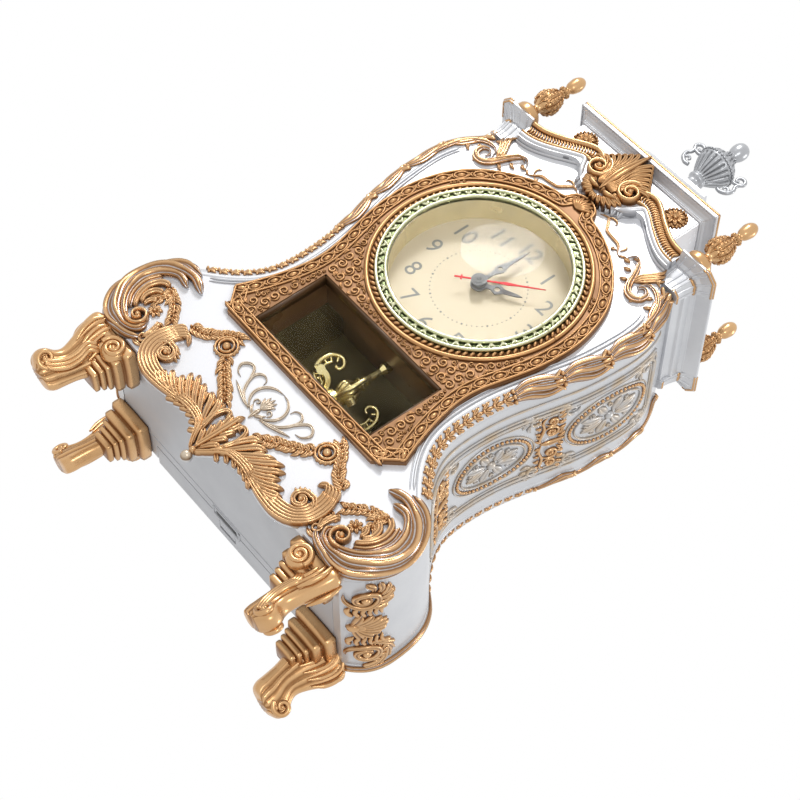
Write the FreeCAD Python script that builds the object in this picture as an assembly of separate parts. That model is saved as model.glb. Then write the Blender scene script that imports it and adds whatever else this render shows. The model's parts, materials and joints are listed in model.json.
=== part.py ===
import FreeCAD, Part
import math
import os
from FreeCAD import Vector as V

os.makedirs("parts", exist_ok=True)

# A rococo mantel clock with a revolving ornament behind a window.
# +Z up from the floor, the front faces -Y, +X to the viewer's right, millimetres.

# Driving sizes of the case
FOOT_H = 41.5           # floor to the underside of the case
CASE_H = 231.0          # underside to the top of the deck
HALF_W = 100.0          # half width of the case at its lower bulge
CASE_D = 86.0           # front panel to rear cover
OVERHANG = 8.5          # how far the capitals stand in front of the panel
WALL = 3.0              # side wall thickness
PANEL_T = 4.0           # front panel thickness
PLATE_T = 3.0           # base panel and deck thickness
CORNER = 6.0            # width and depth of the bevelled corner strip
CAP_H = 16.4            # height of a capital
CAP_CORE = 13.5         # width of a capital's core
CAP_DEEP = 7.0          # back of a front capital behind the panel's front
REAR_SET = 1.5          # rear capitals' edge before the rear plane
FLARE = 9.0             # how far a capital flares

# Dial and its opening
BEZEL_R = 50.0
BEZEL_WIDE = 6.5
BEZEL_T = 3.0
REFL_T = 2.2
DIAL_DEEP = 11.0        # dial face behind the front of the panel
DIAL_T = 1.2
LENS_T = 1.4
LENS_RISE = 3.0
INSET_T = 2.5           # embossed plate on the panel

# Window and its chamber
WIN_HALF = 43.2
PANE_T = 1.4
TUNNEL_D = 14.0
CHAMBER_HALF = 46.0
CHAMBER_D = 36.0
CHAMBER_H = 58.0
CHAMBER_DROP = 5.7      # chamber floor below the window sill
BOX_T = 1.5
MIRROR_T = 1.2

# Revolving ornament and its drive
ROTOR_BACK = 28.0       # axis behind the front of the panel
SPINDLE_R = 2.0
SCROLL_R = 7.0
SCROLL_ARM = 13.0
GEAR_M = 1.0            # gear module
GEAR_N = 36
PINION_N = 12
GEAR_T = 2.5

# Movement and hands
MOVE_SIDE = 56.0
MOVE_T = 16.0
CELL_R = 7.1
CELL_L = 50.0
MINUTE_L = 31.0
HOUR_L = 22.0
SECOND_L = 32.0

# Crest
BLOCK_IN = 12.0         # block's side inside the capitals
BLOCK_H = 25.0
BLOCK_D = 70.5
MOULD_OUT = 6.0
MOULD_H = 7.0
BELL_H = 25.0
BELL_HALF = 18.0
BELL_DEEP = 12.5
URN_H = 47.5
URN_R = 11.2
FINIAL_H = 41.0
FINIAL_R = 7.2
FINIAL_SET = 5.4        # finial axis behind a front capital's outer edge
FINIAL_REAR = 11.0      # finial axis before a rear capital's outer edge

# Feet
FOOT_BLOCK = 25.0
FOOT_INSET = 13.0       # block's outer edge inside the bulge
LEG_T = 11.0
FOOT_BACK = 1.0         # block behind the panel's front and before the rear
TOE_REACH = 16.5        # toe from the block's centre, front to rear
SPLAY = 38.0            # degrees from the side towards the front or rear

# Clearances
RUN = 0.05              # shaft in a hole, radial
GAP = 0.4               # between moving shells
SEAT = 0.2              # between fixed trim and panel
SWING = 2.0             # above the rear cover's turning edge

# Derived planes
FRONT_REACH = OVERHANG - FINIAL_SET + FINIAL_R
REAR_REACH = CASE_D - FOOT_BACK - FOOT_BLOCK / 2.0 + TOE_REACH
YF = (FRONT_REACH - REAR_REACH) / 2.0
YR = YF + CASE_D
Z0 = FOOT_H
ZTOP = Z0 + CASE_H
k = HALF_W / 100.0
kc = CASE_H / 231.0
DZ = Z0 + 153.0 * kc
ZCAP = ZTOP + 2.4
ZWALL = ZCAP - CAP_H
CAP_IN = 0.54 * HALF_W
CAP_YF = YF - OVERHANG
CAP_YR = YR - REAR_SET
FIN_X = CAP_IN + 0.6 * CAP_CORE
ZSILL = DZ - 100.3 * kc
ZLINTEL = DZ - 58.3 * kc
ZFLOOR = ZSILL - CHAMBER_DROP
ZCEIL = ZFLOOR + CHAMBER_H
YROT = YF + ROTOR_BACK
YDIAL = YF + DIAL_DEEP
BEZEL_IN_R = BEZEL_R - BEZEL_WIDE
REFL_R = BEZEL_IN_R + 0.3
BLOCK_HALF = CAP_IN - BLOCK_IN
HOLE_R = REFL_R + REFL_T + SEAT
ZBLOCK = ZTOP + BLOCK_H
ZMOULD = ZBLOCK + MOULD_H
ZBELL = ZMOULD + BELL_H


def box(x0, x1, y0, y1, z0, z1):
    return Part.makeBox(x1 - x0, y1 - y0, z1 - z0, V(x0, y0, z0))


def ycyl(r, y0, y1, x, z):
    return Part.makeCylinder(r, y1 - y0, V(x, y0, z), V(0, 1, 0))


def zcyl(r, z0, z1, x, y):
    return Part.makeCylinder(r, z1 - z0, V(x, y, z0), V(0, 0, 1))


def xcyl(r, x0, x1, y, z):
    return Part.makeCylinder(r, x1 - x0, V(x0, y, z), V(1, 0, 0))


def mirror(shape):
    return shape.mirror(V(0, 0, 0), V(1, 0, 0))


def fuse(shapes):
    out = shapes[0]
    for s in shapes[1:]:
        out = out.fuse(s)
    return out.removeSplitter()


def curve(points):
    c = Part.BSplineCurve()
    c.interpolate([V(x, 0, z) for x, z in points])
    return c


def closed_curve(points):
    c = Part.BSplineCurve()
    c.interpolate([V(x, 0, z) for x, z in points], True)
    return Part.Wire([c.toShape()])


def prism(wire, y0, y1):
    face = Part.Face(wire)
    solid = face.extrude(V(0, y1 - y0, 0))
    solid.translate(V(0, y0, 0))
    return solid


def polygon(points):
    pts = [V(x, 0, z) for x, z in points]
    return Part.makePolygon(pts + [pts[0]])


def turned(profile, x, y, z):
    """Solid of revolution about a vertical axis from (radius, height) points."""
    pts = [V(r, 0, h) for r, h in profile]
    low = V(0, 0, profile[0][1])
    high = V(0, 0, profile[-1][1])
    if pts[0].x > 0:
        pts = [low] + pts
    if pts[-1].x > 0:
        pts = pts + [high]
    wire = Part.makePolygon(pts + [pts[0]])
    solid = Part.Face(wire).revolve(V(0, 0, 0), V(0, 0, 1), 360)
    solid.translate(V(x, y, z))
    return solid


def smooth_turned(profile, x, y, z):
    """Solid of revolution whose outline is one smooth curve."""
    c = Part.BSplineCurve()
    c.interpolate([V(r, 0, h) for r, h in profile])
    a = V(profile[0][0], 0, profile[0][1])
    b = V(profile[-1][0], 0, profile[-1][1])
    low = V(0, 0, a.z)
    high = V(0, 0, b.z)
    edges = [c.toShape()]
    if b.x > 1e-6:
        edges.append(Part.makeLine(b, high))
    edges.append(Part.makeLine(high, low))
    if a.x > 1e-6:
        edges.append(Part.makeLine(low, a))
    solid = Part.Face(Part.Wire(edges)).revolve(V(0, 0, 0), V(0, 0, 1), 360)
    solid.translate(V(x, y, z))
    return solid


nodes = {}


def save(name, shape):
    nodes[name] = shape


# Side outline: half width and height as shares of HALF_W and CASE_H
SIDE = [(0.80, -0.030), (0.89, 0.000), (0.955, 0.026), (0.995, 0.065), (1.000, 0.108),
        (0.985, 0.152), (0.940, 0.195), (0.830, 0.242), (0.725, 0.286), (0.655, 0.338),
        (0.635, 0.403), (0.650, 0.489), (0.695, 0.576), (0.745, 0.662), (0.770, 0.749),
        (0.768, 0.827), (0.738, 0.872), (0.690, 0.906), (0.648, 0.940), (0.620, 1.000),
        (0.610, 1.030)]
side_curve = curve([(w * HALF_W, Z0 + h * CASE_H) for w, h in SIDE])


def side_points(inset, n=34):
    """Points of the side outline moved in by inset, bottom to top."""
    a = side_curve.FirstParameter
    b = side_curve.LastParameter
    out = []
    for i in range(n + 1):
        t = a + (b - a) * i / n
        p = side_curve.value(t)
        d = side_curve.tangent(t)[0]
        out.append((p.x - d.z * inset, p.z + d.x * inset))
    return out


def side_edge(inset):
    return curve(side_points(inset)).toShape()


def band(inset_out, inset_in, y0, y1, z0, z1):
    """Strip that follows the right side outline between two insets."""
    a = side_edge(inset_out)
    b = side_edge(inset_in)
    ends = [Part.makeLine(a.Vertexes[i].Point, b.Vertexes[i].Point) for i in (0, 1)]
    wire = Part.Wire(Part.__sortEdges__([a, ends[1], b, ends[0]]))
    solid = prism(wire, y0, y1)
    return solid.common(box(0, 2 * HALF_W, y0, y1, z0, z1))


def full_outline(inset, y0, y1, z0, z1):
    """Whole width plate inside the side outlines."""
    a = side_edge(inset)
    p = a.Vertexes[0].Point
    q = a.Vertexes[1].Point
    mid = [V(0, 0, q.z), V(0, 0, p.z)]
    edges = [a, Part.makeLine(q, mid[0]), Part.makeLine(mid[0], mid[1]), Part.makeLine(mid[1], p)]
    half = prism(Part.Wire(edges), y0, y1)
    half = half.common(box(-1, 2 * HALF_W, y0, y1, z0, z1))
    return half.fuse(mirror(half)).removeSplitter()


def half_width_at(z):
    pts = side_points(0.0, 200)
    return min(pts, key=lambda p: abs(p[1] - z))[0]


# Capitals: a fluted core that flares out to the front and the outer side
def cap_plan(out, sx, sy, z):
    x0 = CAP_IN
    x1 = CAP_IN + CAP_CORE + out
    y0 = CAP_YF + CAP_DEEP + OVERHANG if sy < 0 else CAP_YR - CAP_DEEP - OVERHANG
    y1 = CAP_YF + FLARE - out if sy < 0 else CAP_YR - FLARE + out
    c = 2.0 + 0.27 * out
    pts = [(x0, y0), (x1, y0), (x1, y1 - sy * c), (x1 - c, y1), (x0, y1)]
    pts = [V(sx * px, py, z) for px, py in pts]
    return Part.makePolygon(pts + [pts[0]])


CAP = [(0.00, 0.07), (0.06, 0.07), (0.08, 0.01), (0.30, 0.03), (0.62, 0.14), (0.70, 0.14),
       (0.72, 0.25), (0.80, 0.42), (0.89, 0.78), (0.93, 0.95), (0.935, 1.0), (1.0, 1.0)]


def capital(sx, sy):
    solids = []
    for (h0, w0), (h1, w1) in zip(CAP[:-1], CAP[1:]):
        low = cap_plan(w0 * FLARE, sx, sy, ZWALL + h0 * CAP_H)
        top = cap_plan(w1 * FLARE, sx, sy, ZWALL + h1 * CAP_H)
        solids.append(Part.makeLoft([low, top], True, True))
    return fuse(solids)


corners = {"front_left": (-1, -1), "front_right": (1, -1), "rear_left": (-1, 1), "rear_right": (1, 1)}
cap_boxes = []
for where, (sx, sy) in corners.items():
    save("capital_" + where, capital(sx, sy))
    xs = sorted((sx * CAP_IN, sx * (CAP_IN + CAP_CORE + FLARE)))
    ys = (CAP_YF, YF + CAP_DEEP) if sy < 0 else (CAP_YR - OVERHANG - CAP_DEEP, CAP_YR)
    cap_boxes.append(box(xs[0], xs[1], ys[0], ys[1], ZWALL, ZCAP + 1))

# Finials: dome foot, leaf bulb, neck and egg knob
FINIAL = [(6.6, 0.0), (6.8, 2.0), (6.6, 5.0), (5.2, 9.0), (3.4, 11.0), (3.7, 12.5), (5.0, 15.0),
          (6.6, 19.0), (8.5, 25.5), (7.6, 28.0), (4.2, 29.6), (2.4, 31.2), (2.9, 32.6), (4.3, 36.0),
          (3.7, 39.0), (0.0, 41.0)]
finial_shape = turned([(r * FINIAL_R / 8.5, h * FINIAL_H / 41.0) for r, h in FINIAL], 0, 0, 0)
FIN_YF = CAP_YF + FINIAL_SET
FIN_YR = CAP_YR - FINIAL_REAR
for where, (sx, sy) in corners.items():
    f = finial_shape.copy()
    f.translate(V(sx * FIN_X, FIN_YF if sy < 0 else FIN_YR, ZCAP))
    save("finial_" + where, f)

# Side walls with blind holes for the rear cover's lugs
ZHINGE = ZWALL - SWING - 1.5
YHINGE = YR - PLATE_T / 2.0
LUG_R = 1.5
LUG_END = half_width_at(ZHINGE) - 1.6
wall = band(0.0, WALL, YF + CORNER, YR, Z0, ZWALL)
wall = wall.cut(xcyl(LUG_R + RUN, 0, LUG_END + GAP, YHINGE, ZHINGE))
save("side_wall_right", wall)
save("side_wall_left", mirror(wall))

# Front panel with the dial hole and the window
panel = full_outline(CORNER + SEAT, YF, YF + PANEL_T, Z0, ZTOP)
for b in cap_boxes[:2]:
    panel = panel.cut(b)
panel = panel.cut(ycyl(HOLE_R, YF - 1, YF + PANEL_T + 1, 0, DZ))
panel = panel.cut(box(-WIN_HALF, WIN_HALF, YF - 1, YF + PANEL_T + 1, ZSILL, ZLINTEL))
SCREW_X = CHAMBER_HALF + 3.2
SCREW_Z = (ZSILL - 4.0, ZLINTEL + 4.0)
SCREW_R = 1.3
for sx in (-1, 1):
    for z in SCREW_Z:
        panel = panel.cut(ycyl(SCREW_R, YF + 1.5, YF + PANEL_T + 1, sx * SCREW_X, z))
save("front_panel", panel)

# Base panel, notched at the rear for the cover's flange
FLANGE_X = 58.0
FLANGE_Y = YR - 14.0
base_half = half_width_at(Z0) - 1.5 * WALL - GAP
nose_half = half_width_at(Z0) - 1.5 * CORNER - 2.0 * GAP
y_nose = YF + CORNER + SEAT
base = fuse([box(-base_half, base_half, y_nose, YR - PLATE_T - GAP, Z0, Z0 + PLATE_T),
             box(-nose_half, nose_half, YF + PANEL_T, y_nose, Z0, Z0 + PLATE_T)])
base = base.cut(box(-FLANGE_X - GAP, FLANGE_X + GAP, FLANGE_Y - GAP, YR + 1, Z0 - 1, Z0 + PLATE_T + 1))
save("base_panel", base)

# Deck with its rear rail between the rear capitals
deck_half = CAP_IN + 4.0
deck = box(-deck_half, deck_half, YF + PANEL_T, YR, ZTOP - PLATE_T, ZTOP)
rail = box(-CAP_IN, CAP_IN, YR - PANEL_T, YR, ZWALL + 0.5, ZTOP - PLATE_T)
deck = deck.fuse(rail)
for b in cap_boxes:
    deck = deck.cut(b)
save("top_deck", deck.removeSplitter())

# Entablature between the capitals of each side
e = deck_half
ENT = [(0.0, 0.0), (8.6, 0.0), (8.6, 1.2), (8.0, 1.6), (8.4, 5.0), (10.0, 6.0), (10.0, 10.0),
       (11.2, 11.4), (11.2, 12.2), (13.0, 13.0), (16.4, 14.4), (18.4, 15.2), (18.4, 16.4), (0.0, 16.4)]
ent = prism(polygon([(e + dx, ZWALL + dz * CAP_H / 16.4) for dx, dz in ENT]),
            YF + CAP_DEEP, CAP_YR - OVERHANG - CAP_DEEP)
save("entablature_right", ent)
save("entablature_left", mirror(ent))

# Corner strips: bevelled borders up the front corners
ZLEAF = Z0 + 0.238 * CASE_H
strip = fuse([band(-0.8, CORNER, YF + 1.5, YF + CORNER, ZLEAF, ZWALL - SEAT),
              band(2.0, CORNER, YF - 1.2, YF + 1.5, ZLEAF, ZWALL - SEAT)])
save("front_border_right", strip)
save("front_border_left", mirror(strip))
rear = fuse([band(-2.0, -SEAT, YR - 8.0, YR, Z0, ZWALL - SEAT),
             band(-3.2, -SEAT, YR - 6.0, YR - 2.0, Z0 + 8.0, ZWALL - SEAT)])
save("rear_border_right", rear)
save("rear_border_left", mirror(rear))

# Raised panels on the sides
y_relief = (YF + 20.0, YR - 14.0)
relief = band(-1.2, -SEAT, y_relief[0], y_relief[1], Z0 + 0.27 * CASE_H, Z0 + 0.87 * CASE_H)
for z, ry, rz in ((DZ + 18.0 * kc, 16.0, 23.0 * kc), (DZ - 45.0 * kc, 15.0, 21.0 * kc)):
    oval = Part.Ellipse(V(0, 0, 0), rz, ry).toShape()
    disc = Part.Face(Part.Wire([oval])).extrude(V(0, 0, 40.0))
    disc.rotate(V(0, 0, 0), V(0, 1, 0), 90)
    disc.translate(V(half_width_at(z) - 20.0, YF + 45.0, z))
    lift = band(-2.2, -1.0, y_relief[0], y_relief[1], Z0 + 0.2 * CASE_H, Z0 + 0.9 * CASE_H)
    relief = relief.fuse(lift.common(disc))
relief = relief.removeSplitter()
save("side_relief_right", relief)
save("side_relief_left", mirror(relief))

# Corner leaves on the lower front corners
LEAF = [(84.0, 50.0), (92.0, 46.0), (99.0, 38.0), (102.0, 30.0), (101.8, 21.0), (99.0, 13.0),
        (94.0, 6.0), (87.0, 1.5), (78.0, 0.3), (70.0, 1.4), (64.0, 4.0), (63.5, 8.0), (66.5, 10.0),
        (70.0, 9.5), (72.5, 13.5), (76.0, 17.0), (80.0, 17.5), (85.0, 16.0), (89.0, 20.0),
        (91.0, 27.0), (90.5, 33.0), (86.0, 38.0), (78.5, 40.0), (71.5, 42.0), (72.5, 45.0), (78.5, 48.0)]
leaf = prism(closed_curve([(x * k, Z0 + z * kc) for x, z in LEAF]), YF - 4.5, YF)
corner = fuse([band(-2.2, CORNER, YF - 1.0, YF + CORNER, Z0, ZLEAF - SEAT),
               leaf.common(box(0, 2 * HALF_W, YF - 10, YF, Z0, ZLEAF + 10))])
corner = corner.cut(panel)
corner = corner.cut(strip)
save("corner_acanthus_right", corner)
save("corner_acanthus_left", mirror(corner))

# Scalloped apron leaf along the lower edge, with a pearl under its point
APRON = [(0.0, -13.5), (3.6, -10.0), (7.0, -4.0), (12.0, 0.0), (20.0, -0.4), (28.0, -2.8),
         (36.0, -4.2), (44.0, -4.0), (52.0, -1.6), (58.0, 3.0), (62.0, 9.5), (62.4, 16.0),
         (60.5, 22.0), (57.0, 22.0), (54.5, 17.0), (50.0, 15.0), (45.0, 14.5), (42.0, 11.0),
         (42.6, 6.0), (39.0, 3.6), (35.0, 6.5), (33.6, 10.5), (28.0, 12.4), (20.0, 13.0),
         (13.0, 9.0), (9.0, 6.5), (6.0, 9.5), (3.0, 12.5), (0.0, 15.0)]
pts = [(x * k, Z0 + z) for x, z in APRON]
right = Part.BSplineCurve()
right.interpolate([V(x, 0, z) for x, z in pts])
spine = Part.makeLine(V(0, 0, pts[-1][1]), V(0, 0, pts[0][1]))
apron = prism(Part.Wire([right.toShape(), spine]), YF - 4.0, YF)
apron = fuse([apron, mirror(apron)])
pearl = Part.makeSphere(2.6, V(0, YF - 2.4, Z0 - 15.4))
save("apron_acanthus", apron.fuse(pearl).removeSplitter())

# Embossed plate round dial and window
PLATE = [(63.0, -5.0), (63.2, 6.0), (60.8, 19.0), (55.6, 32.0), (47.0, 43.0), (36.0, 52.0),
         (23.0, 58.8), (9.5, 62.3)]
LOWER = [(64.5, -96.0), (60.6, -86.0), (57.0, -74.0), (54.4, -60.0), (54.4, -48.0), (57.0, -36.0),
         (60.8, -21.0), (63.0, -5.0)]
CROWN = [(9.5, 62.3), (8.6, 66.0), (5.0, 69.0), (0.0, 70.4)]
FOOT_EDGE = (54.0, -107.8)


def plate_point(x, z):
    return V(x * k, 0, DZ + z * kc)


def plate_curve(points):
    return curve([(x * k, DZ + z * kc) for x, z in points]).toShape()


heel = plate_point(*FOOT_EDGE)
mid_low = plate_point(0.0, FOOT_EDGE[1])
mid_top = plate_point(*CROWN[-1])
outline = [Part.makeLine(mid_low, heel), Part.makeLine(heel, plate_point(*LOWER[0])),
           plate_curve(LOWER), plate_curve(PLATE), plate_curve(CROWN), Part.makeLine(mid_top, mid_low)]
plate = prism(Part.Wire(Part.__sortEdges__(outline)), YF - INSET_T, YF)
plate = fuse([plate, mirror(plate)])
plate = plate.cut(ycyl(HOLE_R, YF - 9, YF + 1, 0, DZ))
plate = plate.cut(box(-WIN_HALF, WIN_HALF, YF - 9, YF + 1, ZSILL, ZLINTEL))
save("inset_plate", plate)

# Bezel, reflector, lens and dial
Y_BEZ = YF - INSET_T
ring = ycyl(BEZEL_R, Y_BEZ - BEZEL_T, Y_BEZ, 0, DZ)
ring = ring.cut(ycyl(BEZEL_IN_R, Y_BEZ - BEZEL_T - 1, Y_BEZ + 1, 0, DZ))
groove = Part.makeTorus((BEZEL_R + BEZEL_IN_R) / 2.0, 1.6, V(0, Y_BEZ - BEZEL_T - 0.8, DZ), V(0, 1, 0))
save("bezel_ring", ring.cut(groove))
refl = ycyl(REFL_R + REFL_T, Y_BEZ, YDIAL, 0, DZ)
save("reflector_ring", refl.cut(ycyl(REFL_R, Y_BEZ - 1, YDIAL + 1, 0, DZ)))
lens_r = BEZEL_IN_R - 0.1
ball = (lens_r ** 2 + LENS_RISE ** 2) / (2.0 * LENS_RISE)
y_edge = Y_BEZ - 1.6
outer = Part.makeSphere(ball, V(0, y_edge - LENS_RISE + ball, DZ))
inner = Part.makeSphere(ball, V(0, y_edge - LENS_RISE + ball + LENS_T, DZ))
save("lens", ycyl(lens_r, y_edge - LENS_RISE - 1, y_edge + LENS_T, 0, DZ).common(outer).cut(inner))
HOUR_R = 2.0
dial = ycyl(REFL_R + REFL_T, YDIAL, YDIAL + DIAL_T, 0, DZ)
save("dial", dial.cut(ycyl(HOUR_R + GAP, YDIAL - 1, YDIAL + DIAL_T + 1, 0, DZ)))

# Movement: a square case with stepped arbor hole, a cell bay and a setting knob
YM = YDIAL + DIAL_T
s = MOVE_SIDE / 2.0
move = box(-s, s, YM, YM + MOVE_T, DZ - s, DZ + s)
move = move.makeFillet(4.0, [ed for ed in move.Edges if abs(ed.tangentAt(ed.FirstParameter).y) > 0.99])
MIN_R = 1.2
SEC_R = 0.6
move = move.cut(ycyl(HOUR_R + RUN, YM - 1, YM + 4.2, 0, DZ))
move = move.cut(ycyl(MIN_R + RUN, YM, YM + 6.2, 0, DZ))
move = move.cut(ycyl(SEC_R + RUN, YM, YM + 8.2, 0, DZ))
CELL_Z = DZ - s + 3.0 + CELL_R
CELL_Y = YM + MOVE_T - CELL_R - 0.5
bay = fuse([xcyl(CELL_R, -CELL_L / 2.0, CELL_L / 2.0, CELL_Y, CELL_Z),
            box(-CELL_L / 2.0, CELL_L / 2.0, CELL_Y, YM + MOVE_T + 1, CELL_Z - CELL_R, CELL_Z + CELL_R)])
move = move.cut(bay)
KNOB_Z = DZ + 14.0
KNOB_R = 6.0
PIN_R = 1.5
move = move.cut(ycyl(PIN_R + RUN, YM + MOVE_T - 5.0, YM + MOVE_T + 1, 0, KNOB_Z))
save("movement_case", move)
cell_end = CELL_L / 2.0 - SEAT
cell = xcyl(CELL_R - SEAT, -cell_end, cell_end - 1.5, CELL_Y, CELL_Z)
save("battery_cell", fuse([cell, xcyl(2.6, cell_end - 1.5, cell_end, CELL_Y, CELL_Z)]))
y = YM + MOVE_T
knob = fuse([ycyl(PIN_R, y - 4.8, y + GAP, 0, KNOB_Z), ycyl(KNOB_R, y + GAP, y + 5.0, 0, KNOB_Z)])
for i in range(18):
    a = math.radians(20.0 * i)
    notch = ycyl(0.5, y, y + 6.0, KNOB_R * math.cos(a), KNOB_Z + KNOB_R * math.sin(a))
    knob = knob.cut(notch)
save("set_knob", knob)


# Hands: hub, tube and a pierced blade, turned to their rest angles
def hand(length, tail, wide, hub, tube_r, bore_r, y0, thick, y_in, angle):
    edge = [(0.35, 0.0), (0.4, 0.28), (1.0, 0.42), (0.4, 0.58), (0.25, 0.86)]
    blade = [(-wide * w, length * h) for w, h in edge] + [(0.0, length)]
    blade = blade + [(wide * w, length * h) for w, h in reversed(edge)]
    shapes = [prism(polygon(blade), y0, y0 + thick), ycyl(hub, y0, y0 + thick, 0, 0)]
    shapes.append(ycyl(tube_r, y0, y_in, 0, 0))
    if tail > 0:
        shapes.append(box(-wide * 0.35, wide * 0.35, y0, y0 + thick, -tail, 0))
        shapes.append(box(-wide * 1.6, wide * 1.6, y0, y0 + thick, -tail * 0.75, -tail * 0.75 + wide))
    out = fuse(shapes)
    if wide > 2.0:
        out = out.cut(ycyl(wide * 0.45, y0 - 1, y0 + thick + 1, 0, length * 0.42))
    if bore_r > 0:
        out = out.cut(ycyl(bore_r, y0 - 1, y_in + 1, 0, 0))
    out.rotate(V(0, 0, 0), V(0, 1, 0), angle)
    out.translate(V(0, 0, DZ))
    return out


HAND_T = 0.7
save("hour_hand", hand(HOUR_L, 0, 3.2, 4.2, HOUR_R, MIN_R + RUN, YDIAL - 3.2, HAND_T, YM + 4.0, 61.0))
save("minute_hand", hand(MINUTE_L, 0, 2.6, 3.4, MIN_R, SEC_R + RUN, YDIAL - 4.8, HAND_T, YM + 6.0, 2.0))
save("second_hand", hand(SECOND_L, 12.0, 0.8, 2.0, SEC_R, 0, YDIAL - 6.4, HAND_T, YM + 8.0, 50.0))

# Window pane, tunnel and mirrored chamber
YP = YF + PANEL_T
YB = YP + PANE_T
save("window_pane", box(-CHAMBER_HALF, CHAMBER_HALF, YP, YB, ZSILL - 3.0, ZLINTEL + 3.0))
t = BOX_T
YC = YB + TUNNEL_D
tunnel = box(-WIN_HALF - t, WIN_HALF + t, YB, YC, ZSILL - t, ZLINTEL + t)
flange = box(-SCREW_X - 3.0, SCREW_X + 3.0, YB, YB + 2.0, ZSILL - 7.0, ZLINTEL + 7.0)
chamber = box(-CHAMBER_HALF - t, CHAMBER_HALF + t, YC - t, YC + CHAMBER_D + t, ZFLOOR - t, ZCEIL + t)
parts = [tunnel, flange, chamber]
for sx in (-1, 1):
    for z in SCREW_Z:
        parts.append(ycyl(2.6, YP, YB, sx * SCREW_X, z))
shell = fuse(parts)
shell = shell.cut(box(-WIN_HALF, WIN_HALF, YB - 1, YC + 1, ZSILL, ZLINTEL))
shell = shell.cut(box(-CHAMBER_HALF, CHAMBER_HALF, YC, YC + CHAMBER_D, ZFLOOR, ZCEIL))
shell = shell.cut(zcyl(SPINDLE_R + RUN, ZFLOOR - 3, ZFLOOR + 1, 0, YROT))
screws = []
for sx in (-1, 1):
    for z in SCREW_Z:
        shell = shell.cut(ycyl(SCREW_R + 0.2, YP - 1, YB + 3, sx * SCREW_X, z))
        head = ycyl(2.4, YB + 2.0, YB + 3.6, sx * SCREW_X, z)
        head = head.cut(box(sx * SCREW_X - 0.35, sx * SCREW_X + 0.35, YB + 3.0, YB + 4.0, z - 1.6, z + 1.6))
        screws.append(fuse([ycyl(SCREW_R, YF + 1.5, YB + 2.0, sx * SCREW_X, z), head]))
save("window_box", shell)
save("case_screws", Part.makeCompound(screws))
m = MIRROR_T
glass = [box(-CHAMBER_HALF, CHAMBER_HALF, YC + CHAMBER_D - m, YC + CHAMBER_D, ZFLOOR, ZCEIL),
         box(-CHAMBER_HALF, -CHAMBER_HALF + m, YC, YC + CHAMBER_D - m, ZFLOOR, ZCEIL),
         box(CHAMBER_HALF - m, CHAMBER_HALF, YC, YC + CHAMBER_D - m, ZFLOOR, ZCEIL)]
save("mirrors", Part.makeCompound(glass))

# Revolving ornament: turned stand on a spindle, and scrolls round its bulb
ZG = ZFLOOR - t - 1.0 - GEAR_T
Z_UNIT = ZG - 2.0
STAND = [(SPINDLE_R, -0.9), (8.0, -0.9), (8.0, 0.8), (7.0, 1.6), (7.0, 3.0), (5.0, 4.5),
         (3.6, 7.0), (5.2, 10.0), (7.0, 14.0), (6.4, 17.5), (3.6, 20.0), (2.4, 21.5), (2.0, 24.0),
         (1.7, 44.0), (2.9, 46.5), (2.9, 49.0), (0.9, 53.0)]
stand = turned([(r, h) for r, h in STAND], 0, YROT, ZFLOOR + 1.8)
spindle = zcyl(SPINDLE_R, Z_UNIT - 6.0, ZFLOOR + 1.0, 0, YROT)
stand = fuse([stand, spindle])
save("rotor_stand", stand)
arms = []
for i in range(4):
    a = ycyl(SCROLL_R, -1.2, 1.2, SCROLL_ARM, 0).cut(ycyl(SCROLL_R - 2.6, -2, 2, SCROLL_ARM, 0))
    a = a.cut(box(SCROLL_ARM + 1.0, SCROLL_ARM + 9.0, -2, 2, -3.2, 2.2))
    eyes = [ycyl(2.4, -1.8, 1.8, SCROLL_ARM + 3.6, 4.2), ycyl(2.0, -1.6, 1.6, SCROLL_ARM + 3.4, -4.4)]
    a = fuse([a] + eyes)
    a.rotate(V(0, 0, 0), V(0, 0, 1), 45.0 + 90.0 * i)
    a.translate(V(0, YROT, ZFLOOR + 15.0))
    arms.append(a.cut(stand))
save("rotor_scrolls", Part.makeCompound(arms))


# Drive gear on the spindle and the motor's pinion, with a little backlash
def gear(n, module, thick, hole, turn):
    pitch = module * n / 2.0
    root = pitch - 1.2 * module
    step = 2.0 * math.pi / n
    pts = []
    for i in range(n):
        c = i * step + turn
        tip = pitch + 0.85 * module
        flank = ((-0.27, root), (-0.20, pitch), (-0.10, tip), (0.10, tip), (0.20, pitch), (0.27, root))
        for frac, rad in flank:
            pts.append(V(rad * math.cos(c + frac * step), rad * math.sin(c + frac * step), 0))
    solid = Part.Face(Part.makePolygon(pts + [pts[0]])).extrude(V(0, 0, thick))
    if hole > 0:
        solid = solid.cut(Part.makeCylinder(hole, thick + 2, V(0, 0, -1)))
    return solid


centre = GEAR_M * (GEAR_N + PINION_N) / 2.0
wheel = gear(GEAR_N, GEAR_M, GEAR_T, SPINDLE_R, 0.0)
wheel.translate(V(0, YROT, ZG))
save("drive_gear", wheel)
pinion = gear(PINION_N, GEAR_M, GEAR_T + 0.8, 0, math.pi + math.pi / PINION_N)
pinion.translate(V(centre, YROT, ZG - 0.4))
shaft = zcyl(1.0, Z_UNIT - 6.0, ZG - 0.4, centre, YROT)
save("motor_pinion", fuse([pinion, shaft]))
unit = box(-16.0, centre + 18.0, YROT - 15.0, YROT + 15.0, Z0 + PLATE_T, Z_UNIT)
unit = unit.cut(zcyl(SPINDLE_R + RUN, Z_UNIT - 6.5, Z_UNIT + 1, 0, YROT))
unit = unit.cut(zcyl(1.0 + RUN, Z_UNIT - 6.5, Z_UNIT + 1, centre, YROT))
save("rotor_motor", unit)

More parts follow.
